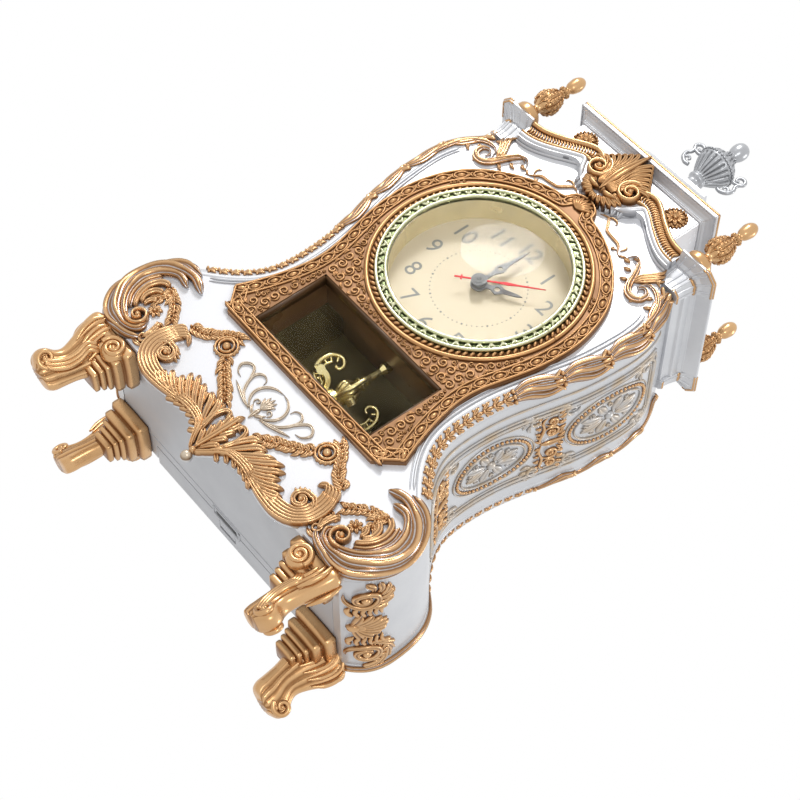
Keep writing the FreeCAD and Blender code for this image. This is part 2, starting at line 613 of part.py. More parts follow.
# Rear cover on lugs, with a bottom flange and its spring tab
cover = full_outline(WALL + 3.0 * GAP, YR - PLATE_T, YR, Z0 + PLATE_T + GAP, ZHINGE + 1.5)
lip = box(-FLANGE_X, FLANGE_X, FLANGE_Y, YR, Z0, Z0 + PLATE_T)
web = box(-FLANGE_X, FLANGE_X, YR - PLATE_T, YR, Z0, Z0 + PLATE_T + GAP + 1.0)
cover = fuse([cover, lip, web])
for sx in (-1, 1):
    lug = xcyl(LUG_R, LUG_END - 8.0, LUG_END, YHINGE, ZHINGE)
    cover = cover.fuse(lug if sx > 0 else mirror(lug))
TAB_X = 6.0
slot = box(-TAB_X - 0.3, TAB_X + 0.3, FLANGE_Y + 1.4, FLANGE_Y + 9.6, Z0 - 1, Z0 + PLATE_T + 0.3)
cover = cover.cut(slot)
save("rear_cover", cover.removeSplitter())
save("latch_tab", box(-TAB_X, TAB_X, FLANGE_Y + 1.7, FLANGE_Y + 7.4, Z0, Z0 + 2.0))

# Cornice: block, stepped moulding, bell top and urn
yb0 = YF
yb1 = YF + BLOCK_D
save("cornice_block", box(-BLOCK_HALF, BLOCK_HALF, yb0, yb1, ZTOP, ZBLOCK))


def rect(grow, z):
    x = BLOCK_HALF + grow
    pts = [V(-x, yb0 - grow, z), V(x, yb0 - grow, z), V(x, yb1 + grow, z), V(-x, yb1 + grow, z)]
    return Part.makePolygon(pts + [pts[0]])


MOULD = [(0.0, 1.0), (0.16, 1.0), (0.30, 1.8), (0.45, 3.2), (0.60, 5.0), (0.64, 6.0), (1.0, 6.0)]
solids = []
for (h0, g0), (h1, g1) in zip(MOULD[:-1], MOULD[1:]):
    low = rect(g0 * MOULD_OUT / 6.0, ZBLOCK + h0 * MOULD_H)
    top = rect(g1 * MOULD_OUT / 6.0, ZBLOCK + h1 * MOULD_H)
    solids.append(Part.makeLoft([low, top], True, True))
save("cornice_moulding", fuse(solids))

YC_TOP = (yb0 + yb1) / 2.0
BELL = [(1.00, 0.0), (1.00, 0.06), (0.80, 0.14), (0.50, 0.32), (0.28, 0.55), (0.12, 0.80),
        (0.0, 0.90), (0.0, 1.0)]
solids = []
bx = BLOCK_HALF - BELL_HALF
by = (yb1 - yb0) / 2.0 - BELL_DEEP
for (g0, h0), (g1, h1) in zip(BELL[:-1], BELL[1:]):
    wires = []
    for g, h in ((g0, h0), (g1, h1)):
        x = BELL_HALF + bx * g
        d = BELL_DEEP + by * g
        z = ZMOULD + BELL_H * h
        pts = [V(-x, YC_TOP - d, z), V(x, YC_TOP - d, z), V(x, YC_TOP + d, z), V(-x, YC_TOP + d, z)]
        wires.append(Part.makePolygon(pts + [pts[0]]))
    solids.append(Part.makeLoft(wires, True, True))
save("bell_top", fuse(solids))

u = URN_R / 11.2
v = URN_H / 47.5
URN = [(8.0, 0.0), (8.0, 2.0), (6.0, 3.2), (3.8, 6.0), (3.4, 9.0), (5.2, 11.0), (4.4, 13.0),
       (7.4, 17.0), (10.2, 21.5), (11.2, 25.0), (11.2, 27.0), (10.4, 28.0), (9.0, 30.4), (6.6, 32.2),
       (4.0, 33.4), (3.4, 35.2)]
KNOB = [(3.4, 35.2), (3.2, 36.2), (4.6, 38.4), (5.6, 41.6), (5.0, 44.8), (3.2, 46.8), (0.0, 47.5)]
urn = turned([(r * u, h * v) for r, h in URN], 0, YC_TOP, ZBELL)
save("urn_body", urn)
save("urn_knob", smooth_turned([(r * u, h * v) for r, h in KNOB], 0, YC_TOP, ZBELL))
rings = []
for x, z, r_out, r_in in ((13.8 * u, 24.4 * v, 4.9, 3.1), (14.6 * u, 18.2 * v, 3.2, 1.6)):
    ring = ycyl(r_out, YC_TOP - 0.9, YC_TOP + 0.9, x, ZBELL + z)
    rings.append(ring.cut(ycyl(r_in, YC_TOP - 2.0, YC_TOP + 2.0, x, ZBELL + z)))
handle = fuse(rings).cut(urn)
save("urn_handles", Part.makeCompound([handle, mirror(handle)]))

# Scroll pediment: silver backing, gilt scrolls and the shell between them
ARM_UP = [(54.0, 6.5), (48.0, 7.2), (42.0, 9.2), (34.0, 13.6), (27.0, 18.0), (21.5, 20.6),
          (16.0, 20.0), (11.0, 16.0)]
ARM_MID = [(54.0, 1.0), (48.0, 1.6), (42.0, 3.6), (34.0, 7.8), (27.0, 12.2), (21.0, 13.8),
           (17.5, 11.7), (15.0, 8.7)]
ARM_LOW = [(54.0, -4.4), (46.0, -3.4), (39.0, -0.6), (31.0, 4.0), (24.0, 7.6), (18.5, 6.2),
           (14.0, 1.6), (8.0, -1.8), (0.0, -3.4)]
ZP = ZTOP - 4.0
kx = CAP_IN / 54.0


def strip_between(low, up, y0, y1):
    a = curve([(x * kx, ZP + z) for x, z in low]).toShape()
    b = curve([(x * kx, ZP + z) for x, z in up]).toShape()
    edges = [a, b]
    for i in (0, 1):
        edges.append(Part.makeLine(a.Vertexes[i].Point, b.Vertexes[i].Point))
    return prism(Part.Wire(Part.__sortEdges__(edges)), y0, y1)


up_full = ARM_UP + [(5.0, 14.0), (0.0, 13.6)]
back = strip_between(ARM_LOW, up_full, YF - 4.6, YF)
save("pediment_backing", fuse([back, mirror(back)]))
SHELL = [(0.0, -1.0), (8.0, 0.4), (14.0, 4.2), (16.6, 10.2), (15.8, 17.2), (17.4, 23.4),
         (11.0, 27.2), (6.0, 30.4), (0.0, 34.0)]
half = curve([(x * kx, ZP + z) for x, z in SHELL]).toShape()
shell_wire = Part.Wire([half, Part.makeLine(V(0, 0, ZP + SHELL[-1][1]), V(0, 0, ZP + SHELL[0][1]))])
shell_half = prism(shell_wire, YF - 7.8, YF - 4.6)
shell_c = fuse([shell_half, mirror(shell_half)]).cut(nodes["cornice_moulding"])
save("shell_cartouche", shell_c)
arm = strip_between(ARM_MID, ARM_UP, YF - 7.0, YF - 4.6).cut(shell_c)
save("pediment_scrolls", Part.makeCompound([arm, mirror(arm)]))
ros = []
for sx in (-1, 1):
    ros.append(ycyl(6.0, YF - 2.4, YF, sx * 32.4 * kx, ZTOP + 17.8))
save("rosettes", Part.makeCompound(ros))

# Feet: stepped block, splayed scroll leg and a volute on the front
STEPS = [(1.00, 0.0, 7.0), (0.84, 7.0, 12.0), (0.66, 12.0, 17.0), (0.48, 17.0, 21.5)]
LEG = [(19.0, 1.5), (23.0, -2.0), (23.4, -6.0), (21.5, -12.0), (18.5, -19.0), (16.8, -25.0),
       (17.8, -28.8), (20.6, -32.0), (22.0, -35.5), (20.5, -39.0), (16.0, -41.7), (10.0, -42.2),
       (4.5, -42.0), (1.5, -38.0), (1.0, -32.0), (0.0, -26.0), (-2.0, -18.0), (-5.0, -8.0), (-4.0, 1.5)]
FX = HALF_W - FOOT_INSET - FOOT_BLOCK / 2.0
FYF = YF + FOOT_BACK + FOOT_BLOCK / 2.0
FYR = YR - FOOT_BACK - FOOT_BLOCK / 2.0
kz = FOOT_H / 41.5
leg = prism(closed_curve([(reach, Z0 + z * kz) for reach, z in LEG]), -LEG_T / 2.0, LEG_T / 2.0)
for where, (sx, sy) in corners.items():
    shapes = []
    for w, h0, h1 in STEPS:
        b = FOOT_BLOCK * w
        x0 = -FOOT_BLOCK / 2.0 + 0.45 * (FOOT_BLOCK - b)
        shapes.append(box(x0, x0 + b, x0, x0 + b, Z0 - h1 * kz, Z0 - h0 * kz))
    one = leg.copy()
    one.rotate(V(0, 0, 0), V(0, 0, 1), SPLAY)
    shapes.append(one)
    shapes.append(Part.makeCylinder(6.5, 1.0, V(-3.0, FOOT_BLOCK / 2.0, Z0 - 6.8), V(0, 1, 0)))
    f = fuse(shapes)
    f = f.common(box(-40, 40, -40, TOE_REACH, 0.0, Z0))
    if sx < 0:
        f = f.mirror(V(0, 0, 0), V(1, 0, 0))
    if sy < 0:
        f = f.mirror(V(0, 0, 0), V(0, 1, 0))
    f.translate(V(sx * FX, FYF if sy < 0 else FYR, 0))
    save("foot_" + where, f)

bounds = FreeCAD.BoundBox()
for name, shape in nodes.items():
    shape.exportStep("parts/" + name + ".step")
    bounds.add(shape.BoundBox)
    print(name, len(shape.Solids), "valid" if shape.isValid() else "NOT VALID")
print("nodes", len(nodes))
print("bounds", bounds)
print("dial", DZ, "rotor y", YROT, "pinion x", centre, "hinge", YHINGE, ZHINGE)
print("front", YF, "rear", YR, "knob z", KNOB_Z, "urn y", YC_TOP)
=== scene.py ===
"""Looks of a rococo mantel clock with a revolving ornament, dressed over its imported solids."""
import json
import random
from math import atan2, cos, degrees, dist, hypot, pi, radians, sin, sqrt

import bmesh
import bpy
import numpy as np
from mathutils import Matrix, Vector
from mathutils.bvhtree import BVHTree


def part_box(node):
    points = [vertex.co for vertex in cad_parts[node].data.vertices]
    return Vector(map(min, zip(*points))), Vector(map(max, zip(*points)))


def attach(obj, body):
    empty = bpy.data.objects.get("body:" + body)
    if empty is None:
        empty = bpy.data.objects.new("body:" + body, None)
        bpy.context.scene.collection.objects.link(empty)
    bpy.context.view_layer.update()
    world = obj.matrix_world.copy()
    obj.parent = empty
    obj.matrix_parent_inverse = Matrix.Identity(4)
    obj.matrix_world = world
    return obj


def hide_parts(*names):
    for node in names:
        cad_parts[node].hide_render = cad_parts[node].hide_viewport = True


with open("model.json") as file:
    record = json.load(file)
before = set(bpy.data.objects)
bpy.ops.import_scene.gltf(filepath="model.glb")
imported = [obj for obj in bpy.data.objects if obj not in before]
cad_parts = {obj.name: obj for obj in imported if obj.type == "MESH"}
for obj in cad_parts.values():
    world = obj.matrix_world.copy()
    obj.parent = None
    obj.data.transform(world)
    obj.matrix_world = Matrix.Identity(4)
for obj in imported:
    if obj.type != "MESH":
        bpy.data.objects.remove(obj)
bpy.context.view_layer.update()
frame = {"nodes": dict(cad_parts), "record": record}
NODES = frame["nodes"]
RNG = random.Random(7)
MM = 0.001
TAU = 2.0 * pi
CORNERS = ("front_left", "front_right", "rear_left", "rear_right")
SIDES = (("right", 1), ("left", -1))


def low(node):
    return np.array(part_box(node)[0]) / MM


def high(node):
    return np.array(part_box(node)[1]) / MM


# Places taken from the solids, in millimetres
YF = low("front_panel")[1]
YR = high("rear_cover")[1]
DZ = 0.5 * (low("bezel_ring")[2] + high("bezel_ring")[2])
Z_BASE = low("base_panel")[2]
CORNER = low("side_wall_right")[1] - YF
Y_PLATE = low("inset_plate")[1]
Y_DIAL = low("dial")[1]
Z_TOP = high("front_panel")[2] - DZ


def silhouette(node, z0, z1, y):
    """Half-width of a solid at each height, from rays cast inwards at depth y."""
    tree = BVHTree.FromObject(NODES[node], bpy.context.evaluated_depsgraph_get())
    rows = []
    for z in np.linspace(z0, z1, 240):
        hit = tree.ray_cast(Vector((0.3, y * MM, z * MM)), Vector((-1, 0, 0)))[0]
        if hit is not None:
            rows.append((hit.x / MM, z - DZ))
    return np.array(rows)


class Rail:
    """An outline in the x-z plane, walked from its foot, with its outward direction."""

    def __init__(self, points):
        self.p = np.array(points, float)
        step = np.linalg.norm(np.diff(self.p, axis=0), axis=1)
        self.s = np.concatenate([[0.0], np.cumsum(step)])
        t = np.gradient(self.p, axis=0)
        t /= np.linalg.norm(t, axis=1)[:, None]
        self.n = np.stack([t[:, 1], -t[:, 0]], axis=1)
        self.length = self.s[-1]

    def at(self, s):
        p = np.stack([np.interp(s, self.s, self.p[:, i]) for i in (0, 1)], axis=-1)
        n = np.stack([np.interp(s, self.s, self.n[:, i]) for i in (0, 1)], axis=-1)
        return p, n / np.linalg.norm(n, axis=-1, keepdims=True)

    def s_at(self, z):
        return float(np.interp(z, self.p[:, 1], self.s))


CASE = Rail(silhouette("side_wall_right", Z_BASE + 0.3, high("side_wall_right")[2] - 0.3, 0.0))
PLATE = Rail(silhouette("inset_plate", low("inset_plate")[2] + 0.2, high("inset_plate")[2] - 0.2,
                        0.5 * (Y_PLATE + YF)))


def section(n, fullness, ridges=0, depth=0.35, vein=False):
    """Cross-section of a carved strand: places across it, heights and how deep in painted shade each sits.
    """
    arc = np.linspace(0.0, pi, n)
    x = -np.cos(arc)
    full = np.sin(arc) ** fullness
    groove = 0.5 * (1.0 - np.cos(ridges * pi * x)) if ridges else np.zeros(n)
    if vein:
        groove = np.exp(-(x / 0.28) ** 2)
    # The third list is painted shade: full at the feet and in the grooves, none on the crests.
    return x, full * (1.0 - depth * groove), np.clip(1.0 - full + 0.75 * groove, 0.0, 1.0)


ROUND = section(9, 1.0)
KEEN = section(9, 1.5)
VEINED = section(11, 0.7, vein=True, depth=0.45)
HOLLOW = section(11, 0.45, vein=True, depth=0.5)
REED2 = section(13, 0.6, ridges=2)
FLAT = section(9, 0.2)


def spline(points, step):
    """Smooth path through the points, cut into even steps."""
    p = np.array(points, float)
    if len(p) > 2:
        q = np.vstack([2 * p[0] - p[1], p, 2 * p[-1] - p[-2]])
        t = np.linspace(0, 1, 10, endpoint=False)[:, None]
        parts = []
        for a, b, c, d in zip(q, q[1:], q[2:], q[3:]):
            parts.append(0.5 * (2 * b + (c - a) * t + (2 * a - 5 * b + 4 * c - d) * t ** 2
                                + (3 * b - a - 3 * c + d) * t ** 3))
        p = np.vstack(parts + [p[-1:]])
    s = np.concatenate([[0], np.cumsum(np.linalg.norm(np.diff(p, axis=0), axis=1))])
    n = max(4, int(s[-1] / step) + 1)
    even = np.linspace(0, s[-1], n)
    return np.stack([np.interp(even, s, p[:, i]) for i in range(p.shape[1])], axis=1)


def polar(cx, cz, rx, a, rz=None):
    """Point of a circle, or of an oval where rz is given, at the angle a."""
    return cx + rx * cos(a), cz + (rx if rz is None else rz) * sin(a)


def upright(z, rx, rz, a):
    """Point of an oval about the middle line, at the angle a from upright."""
    return rx * sin(a), z + rz * cos(a)


def spiral(cx, cy, r0, r1, a0, turns, n=26):
    """Points from radius r0 to r1 about a centre; a0 in degrees, turns signed."""
    t = np.linspace(0, 1, n)
    a = radians(a0) + TAU * turns * t
    r = r0 + (r1 - r0) * t ** 0.8
    return [(cx + x, cy + y) for x, y in zip(r * np.cos(a), r * np.sin(a))]


def rounded_frame(x0, x1, z0, z1, r):
    """Closed path with round corners."""
    pts = []
    for cx, cz, a0 in ((x1 - r, z1 - r, 0), (x0 + r, z1 - r, 90), (x0 + r, z0 + r, 180),
                       (x1 - r, z0 + r, 270)):
        for a in np.radians(np.linspace(a0, a0 + 90, 7)):
            pts.append(polar(cx, cz, r, a))
    return pts + pts[:1]


def oval(cx, cz, rx, rz, n=49):
    """Closed path round an oval."""
    return [polar(cx, cz, rx, a, rz) for a in np.linspace(0, TAU, n)]


def along(values, t):
    """Values spread evenly along a path, read at the shares t."""
    values = np.atleast_1d(np.array(values, float))
    return np.interp(t, np.linspace(0, 1, len(values)), values)


class Relief:
    """Closed carved forms gathered in flat millimetres: across, up, and proud of the ground."""

    def __init__(self):
        self.v, self.f, self.w, self.n = [], [], [], 0

    def put(self, verts, faces, hollow_shade):
        self.v.append(np.asarray(verts, float))
        self.w.append(np.asarray(hollow_shade, float))
        self.f += [tuple(i + self.n for i in f) for f in faces]
        self.n += len(verts)

    def loft(self, rings, hollow_shade):
        """Joins closed rings of equal length into a capped tube."""
        n, m = rings.shape[:2]
        i, j = np.meshgrid(np.arange(n - 1), np.arange(m), indexing="ij")
        k = (j + 1) % m
        quads = np.stack([i * m + j, (i + 1) * m + j, (i + 1) * m + k, i * m + k], axis=-1).reshape(-1, 4)
        faces = [tuple(q) for q in quads.tolist()]
        faces += [tuple(range(m)), tuple(range(n * m - 1, (n - 1) * m - 1, -1))]
        self.put(rings.reshape(-1, 3), faces, hollow_shade.reshape(-1))

    def strand(self, points, width, height, cut=ROUND, ends=(0.25, 0.25), lift=0.0, step=0.8,
               sink=0.5, shade=None):
        """A carved ridge along a path.

        Width, height and lift are numbers or lists along the path, and shade is one even depth of painted
        shade.
        """
        c = spline(points, step)
        n = len(c)
        t = np.linspace(0, 1, n)
        d = np.gradient(c[:, :2], axis=0)
        d /= np.linalg.norm(d, axis=1)[:, None] + 1e-9
        side = np.stack([-d[:, 1], d[:, 0]], axis=1)
        tip = np.ones(n)
        if ends[0] > 0:
            tip = np.minimum(tip, np.sqrt(np.clip(t / ends[0], 0.02, 1)))
        if ends[1] > 0:
            tip = np.minimum(tip, np.sqrt(np.clip((1 - t) / ends[1], 0.02, 1)))
        w = 0.5 * along(width, t) * tip
        h = along(height, t) * (0.25 + 0.75 * tip)
        up = along(lift, t)
        if c.shape[1] > 2:
            up = up + c[:, 2]
        m = len(cut[0])
        rings = np.zeros((n, m + 2, 3))
        hollow_shade = np.ones((n, m + 2))
        for j, (x, rise, dark) in enumerate(zip(*cut)):
            rings[:, j, :2] = c[:, :2] + side * (w * x)[:, None]
            rings[:, j, 2] = up + h * rise
            # Painted shade: deeper towards the tapered ends, where the strand meets its ground.
            hollow_shade[:, j] = np.clip(dark + 0.3 * (1.0 - tip), 0.0, 1.0)
        for j, x in ((m, 1.0), (m + 1, -1.0)):
            rings[:, j, :2] = c[:, :2] + side * (w * x)[:, None]
            rings[:, j, 2] = -sink
        self.loft(rings, hollow_shade if shade is None else np.full_like(hollow_shade, shade))

    def band(self, points, width, height, **rest):
        """A strand with square ends."""
        self.strand(points, width, height, ends=(0, 0), **rest)

    def leaf(self, points, width, height, lift=0.0, fat=0.4, step=0.8):
        """A pointed leaf along a path, widest at the share fat of its length."""
        t = np.linspace(0, 1, 12)
        shape = np.where(t < fat, np.sin(0.5 * pi * t / fat) ** 0.7,
                         np.cos(0.5 * pi * (t - fat) / (1 - fat)) ** 0.8)
        self.band(points, list(width * np.maximum(shape, 0.06)), list(height * (0.35 + 0.65 * shape)),
                  cut=VEINED, lift=lift, step=step)

    def blade(self, points, width, height):
        """A finger of acanthus: narrow at its root, full near its rounded tip."""
        self.strand(points, [0.5 * width, 0.75 * width, width, 1.05 * width, 0.95 * width],
                    [0.7 * height, 0.85 * height, height, height, 0.9 * height],
                    cut=VEINED if width > 2.3 else KEEN, ends=(0.05, 0.14), step=0.7)

    def bead(self, x, y, r, height, lift=0.0, stretch=1.0, turn=0.0, seg=12, rows=4, sink=0.5):
        """A dome, round or oval."""
        a = np.linspace(0, TAU, seg, endpoint=False)
        ca, sa = cos(turn), sin(turn)
        rings, hollow_shade = [], []
        for i in range(rows + 1):
            e = 0.5 * pi * i / rows
            rr = r * cos(e) + 0.02
            px, py = rr * stretch * np.cos(a), rr * np.sin(a)
            rings.append(np.stack([x + px * ca - py * sa, y + px * sa + py * ca,
                                   np.full(seg, lift + height * sin(e))], axis=1))
            # Painted shade: darkest at the dome's foot, none at its top.
            hollow_shade.append(np.full(seg, 1.0 - sin(e)))
        rings.insert(0, rings[0] * [1, 1, 0] - [0, 0, sink])
        hollow_shade.insert(0, np.ones(seg))
        self.loft(np.array(rings), np.array(hollow_shade))

    def pearl(self, x, y, r, height):
        """A small dome."""
        self.bead(x, y, r, height, seg=8, rows=3)

    def flower(self, x, y, r, petals, height, lift=0.0, eye=0.28):
        """Petals about a raised eye."""
        for i in range(petals):
            pts = [polar(x, y, r * q, TAU * i / petals) for q in (0.15, 0.55, 1.0)]
            self.leaf(pts, 1.05 * TAU * r * 0.6 / petals, height, lift=lift, fat=0.62, step=r * 0.12)
        self.bead(x, y, r * eye, height * 1.15, lift=lift)

    def pearls(self, x, y, rx, ry, count, r, height):
        """Small domes evenly round an oval."""
        for i in range(count):
            self.pearl(*polar(x, y, rx, TAU * i / count, ry), r, height)

    def add(self, other):
        """Takes in the forms of another relief."""
        for v, w in zip(other.v, other.w):
            self.v.append(v)
            self.w.append(w)
        self.f += [tuple(i + self.n for i in f) for f in other.f]
        self.n += other.n

    def mirrored(self):
        """A copy with left and right exchanged."""
        out = Relief()
        out.v = [v * [-1, 1, 1] for v in self.v]
        out.w = list(self.w)
        out.f = list(self.f)
        out.n = self.n
        return out

    def paired(self):
        """Adds its own mirrored copy."""
        self.add(self.mirrored())
        return self


def on_front(v, y=YF):
    return np.stack([v[:, 0], y - v[:, 2], DZ + v[:, 1]], axis=1)


def on_plate(v):
    return on_front(v, Y_PLATE)


def on_dial(v):
    return on_front(v, Y_DIAL)


def round_corner(v):
    """Front ground that rolls over the case's corner towards its side."""
    sign = np.where(v[:, 0] < 0, -1.0, 1.0)
    q = np.stack([np.abs(v[:, 0]), v[:, 1]], axis=1)
    best = np.full(len(q), 1e9)
    near = np.zeros(len(q), int)
    for i in range(0, len(CASE.p), 2):
        d = ((q - CASE.p[i]) ** 2).sum(axis=1)
        better = d < best
        best[better] = d[better]
        near[better] = i
    p, n = CASE.p[near], CASE.n[near]
    inside = ((p - q) * n).sum(axis=1)
    out = on_front(v)
    a = np.clip((CORNER - inside) / CORNER, 0.0, 0.5 * pi)
    rest = np.maximum(CORNER - inside - 0.5 * pi * CORNER, 0.0)
    slide = q - p + n * inside[:, None]
    radius = CORNER + v[:, 2]
    reach = -CORNER + radius * np.sin(a)
    flat = p + slide + n * reach[:, None]
    roll = inside < CORNER
    out[roll, 0] = (sign * flat[:, 0])[roll]
    out[roll, 2] = DZ + flat[roll, 1]
    out[roll, 1] = (YF + CORNER - radius * np.cos(a) + rest)[roll]
    return out


def on_edge(v, y_edge, sense):
    """Across the corner, along the outline and proud; sense 1 for the front edge, -1 for the rear."""
    p, n = CASE.at(v[:, 1])
    a = 0.25 * pi + v[:, 0] / CORNER
    radius = CORNER + v[:, 2]
    flat = p + n * (-CORNER + radius * np.sin(a))[:, None]
    y = y_edge + sense * (CORNER - radius * np.cos(a))
    return np.stack([flat[:, 0], y, DZ + flat[:, 1]], axis=1)


def on_side(v):
    """Depth behind the front, height, proud of the right side wall."""
    s = np.interp(v[:, 1], CASE.p[:, 1], CASE.s)
    p, n = CASE.at(s)
    flat = p + n * v[:, 2][:, None]
    return np.stack([flat[:, 0], YF + v[:, 0], DZ + flat[:, 1]], axis=1)


# Materials
SPECKLE, SPECKLE_SCALE = 0.12, 700.0
BARE_FROM = (0.66, 0.82)
GRAIN_DEPTH = 0.3 * MM


def blank(name):
    """A new material with its node tree and its shader."""
    mat = bpy.data.materials.new(name)
    mat.use_nodes = True
    return mat, mat.node_tree, mat.node_tree.nodes["Principled BSDF"]


def see_through(tree, shader, when):
    """Lets light straight through the material where the value is 1."""
    through = tree.nodes.new("ShaderNodeBsdfTransparent")
    both = tree.nodes.new("ShaderNodeMixShader")
    for source, target in ((when, both.inputs[0]), (shader.outputs[0], both.inputs[1]),
                           (through.outputs[0], both.inputs[2]),
                           (both.outputs[0], tree.nodes["Material Output"].inputs["Surface"])):
        tree.links.new(source, target)


def mix(tree, kind, fac, a, b, blend="MIX"):
    """Mixes two colours or two values, each a number or a socket."""
    node = tree.nodes.new("ShaderNodeMix")
    node.data_type = kind
    node.blend_type = blend
    slots = {"RGBA": (6, 7, 2), "FLOAT": (2, 3, 0)}[kind]
    for slot, value in ((0, fac), (slots[0], a), (slots[1], b)):
        if hasattr(value, "is_linked"):
            tree.links.new(value, node.inputs[slot])
        else:
            node.inputs[slot].default_value = value
    return node.outputs[slots[2]]


def remap(tree, value, a, b, c, d):
    """Moves a value from the range a to b into the range c to d."""
    node = tree.nodes.new("ShaderNodeMapRange")
    tree.links.new(value, node.inputs[0])
    for i, x in enumerate((a, b, c, d)):
        node.inputs[i + 1].default_value = x
    return node.outputs[0]


def noise(tree, scale, detail=3.0):
    """Soft noise fixed to the object."""
    coord = tree.nodes.new("ShaderNodeTexCoord")
    node = tree.nodes.new("ShaderNodeTexNoise")
    node.inputs["Scale"].default_value = scale
    node.inputs["Detail"].default_value = detail
    node.inputs["Roughness"].default_value = 0.55
    tree.links.new(coord.outputs["Object"], node.inputs["Vector"])
    return node.outputs["Fac"]


def ramp(tree, value, stops):
    """Colours at places along a value."""
    node = tree.nodes.new("ShaderNodeValToRGB")
    tree.links.new(value, node.inputs[0])
    bar = node.color_ramp.elements
    while len(bar) < len(stops):
        bar.new(0.5)
    for stop, (place, colour) in zip(bar, stops):
        stop.position = place
        stop.color = (*colour, 1)
    return node.outputs[0]


def finish(name, light, dark, metallic, rough, grain=(900.0, 0.06), hollow_shade=None, cloud=45.0,
           edge=None, **sockets):
    """A lacquered or plated finish: clouded colour, uneven gloss and fine grain.

    The shade ramp paints shade into its hollows, and edge is the bare colour at its foot.
    """
    mat, tree, shader = blank(name)
    shader.inputs["Metallic"].default_value = metallic
    for key, value in sockets.items():
        shader.inputs[key.replace("_", " ")].default_value = value
    clouds = noise(tree, cloud)
    colour = mix(tree, "RGBA", remap(tree, clouds, 0.35, 0.7, 0.0, 1.0), (*light, 1), (*dark, 1))
    if hollow_shade:
        # Painted shade: each vertex's depth, speckled a little, darkens the colour through the ramp.
        attr = tree.nodes.new("ShaderNodeAttribute")
        attr.attribute_name = "hollow_shade"
        depth = mix(tree, "FLOAT", SPECKLE, attr.outputs["Fac"], noise(tree, SPECKLE_SCALE))
        shade_tint = ramp(tree, depth, [(0.0, (1, 1, 1))] + hollow_shade)
        colour = mix(tree, "RGBA", 1.0, colour, shade_tint, blend="MULTIPLY")
    # The same depth also shows the bare ground's own colour deep in the hollows.
    if edge:
        colour = mix(tree, "RGBA", remap(tree, depth, *BARE_FROM, 0.0, 1.0), colour, (*edge, 1))
    tree.links.new(colour, shader.inputs["Base Color"])
    tree.links.new(remap(tree, clouds, 0.3, 0.7, rough - 0.04, rough + 0.06), shader.inputs["Roughness"])
    bump = tree.nodes.new("ShaderNodeBump")
    bump.inputs["Strength"].default_value = grain[1]
    bump.inputs["Distance"].default_value = GRAIN_DEPTH
    tree.links.new(noise(tree, grain[0], 2.0), bump.inputs["Height"])
    tree.links.new(bump.outputs["Normal"], shader.inputs["Normal"])
    return mat


# Painted shade: ramps that darken each finish's hollows by the depth its vertices carry.
GILT_HOLLOW_SHADE = [(0.3, (0.88, 0.82, 0.76)), (0.6, (0.40, 0.29, 0.20)), (1.0, (0.20, 0.13, 0.08))]
LEAF_HOLLOW_SHADE = [(0.3, (0.90, 0.85, 0.80)), (0.58, (0.40, 0.30, 0.22)), (1.0, (0.36, 0.27, 0.20))]
SILVER_HOLLOW_SHADE = [(0.5, (0.8, 0.8, 0.81)), (1.0, (0.42, 0.42, 0.43))]
GOLD = finish("antique_gilt_painted_shade", (0.68, 0.43, 0.215), (0.56, 0.33, 0.15), 0.75, 0.27, hollow_shade=GILT_HOLLOW_SHADE)
LEAF_GILT = finish("rubbed_gilt_painted_shade", (0.73, 0.475, 0.255), (0.61, 0.375, 0.185), 0.75, 0.26, hollow_shade=LEAF_HOLLOW_SHADE,
                   edge=(0.60, 0.61, 0.63))
PLATE_GILT = finish("bronze_gilt", (0.60, 0.345, 0.155), (0.50, 0.27, 0.11), 0.6, 0.3, hollow_shade=GILT_HOLLOW_SHADE)
# Bronze brown darkened to the shade of the plate's recesses: painted shade over the whole ground.
PLATE_GROUND = finish("bronze_ground_painted_shade", (0.26, 0.125, 0.045), (0.20, 0.09, 0.03), 0.4, 0.42)
FOOT_GILT = finish("satin_gilt", (0.72, 0.455, 0.23), (0.60, 0.36, 0.165), 0.8, 0.27, hollow_shade=GILT_HOLLOW_SHADE)
PALE_GILT = finish("pale_gilt", (0.68, 0.60, 0.49), (0.62, 0.53, 0.41), 0.55, 0.3, hollow_shade=LEAF_HOLLOW_SHADE,
                   edge=(0.62, 0.62, 0.62))
SILVER = finish("silver_lacquer", (0.70, 0.71, 0.73), (0.65, 0.66, 0.685), 0.35, 0.34,
                grain=(1600.0, 0.05), hollow_shade=SILVER_HOLLOW_SHADE)
SILVER_GILT = finish("gilded_silver", (0.64, 0.63, 0.62), (0.64, 0.50, 0.34), 0.4, 0.34,
                     hollow_shade=SILVER_HOLLOW_SHADE, cloud=140.0)
WHITE = finish("pearl_white", (0.86, 0.87, 0.90), (0.83, 0.84, 0.88), 0.08, 0.26,
               grain=(2200.0, 0.03), Coat_Weight=0.3, Coat_Roughness=0.12)
GREY = finish("pale_grey_moulding", (0.60, 0.61, 0.635), (0.57, 0.58, 0.605), 0.1, 0.45,
              grain=(1500.0, 0.08))
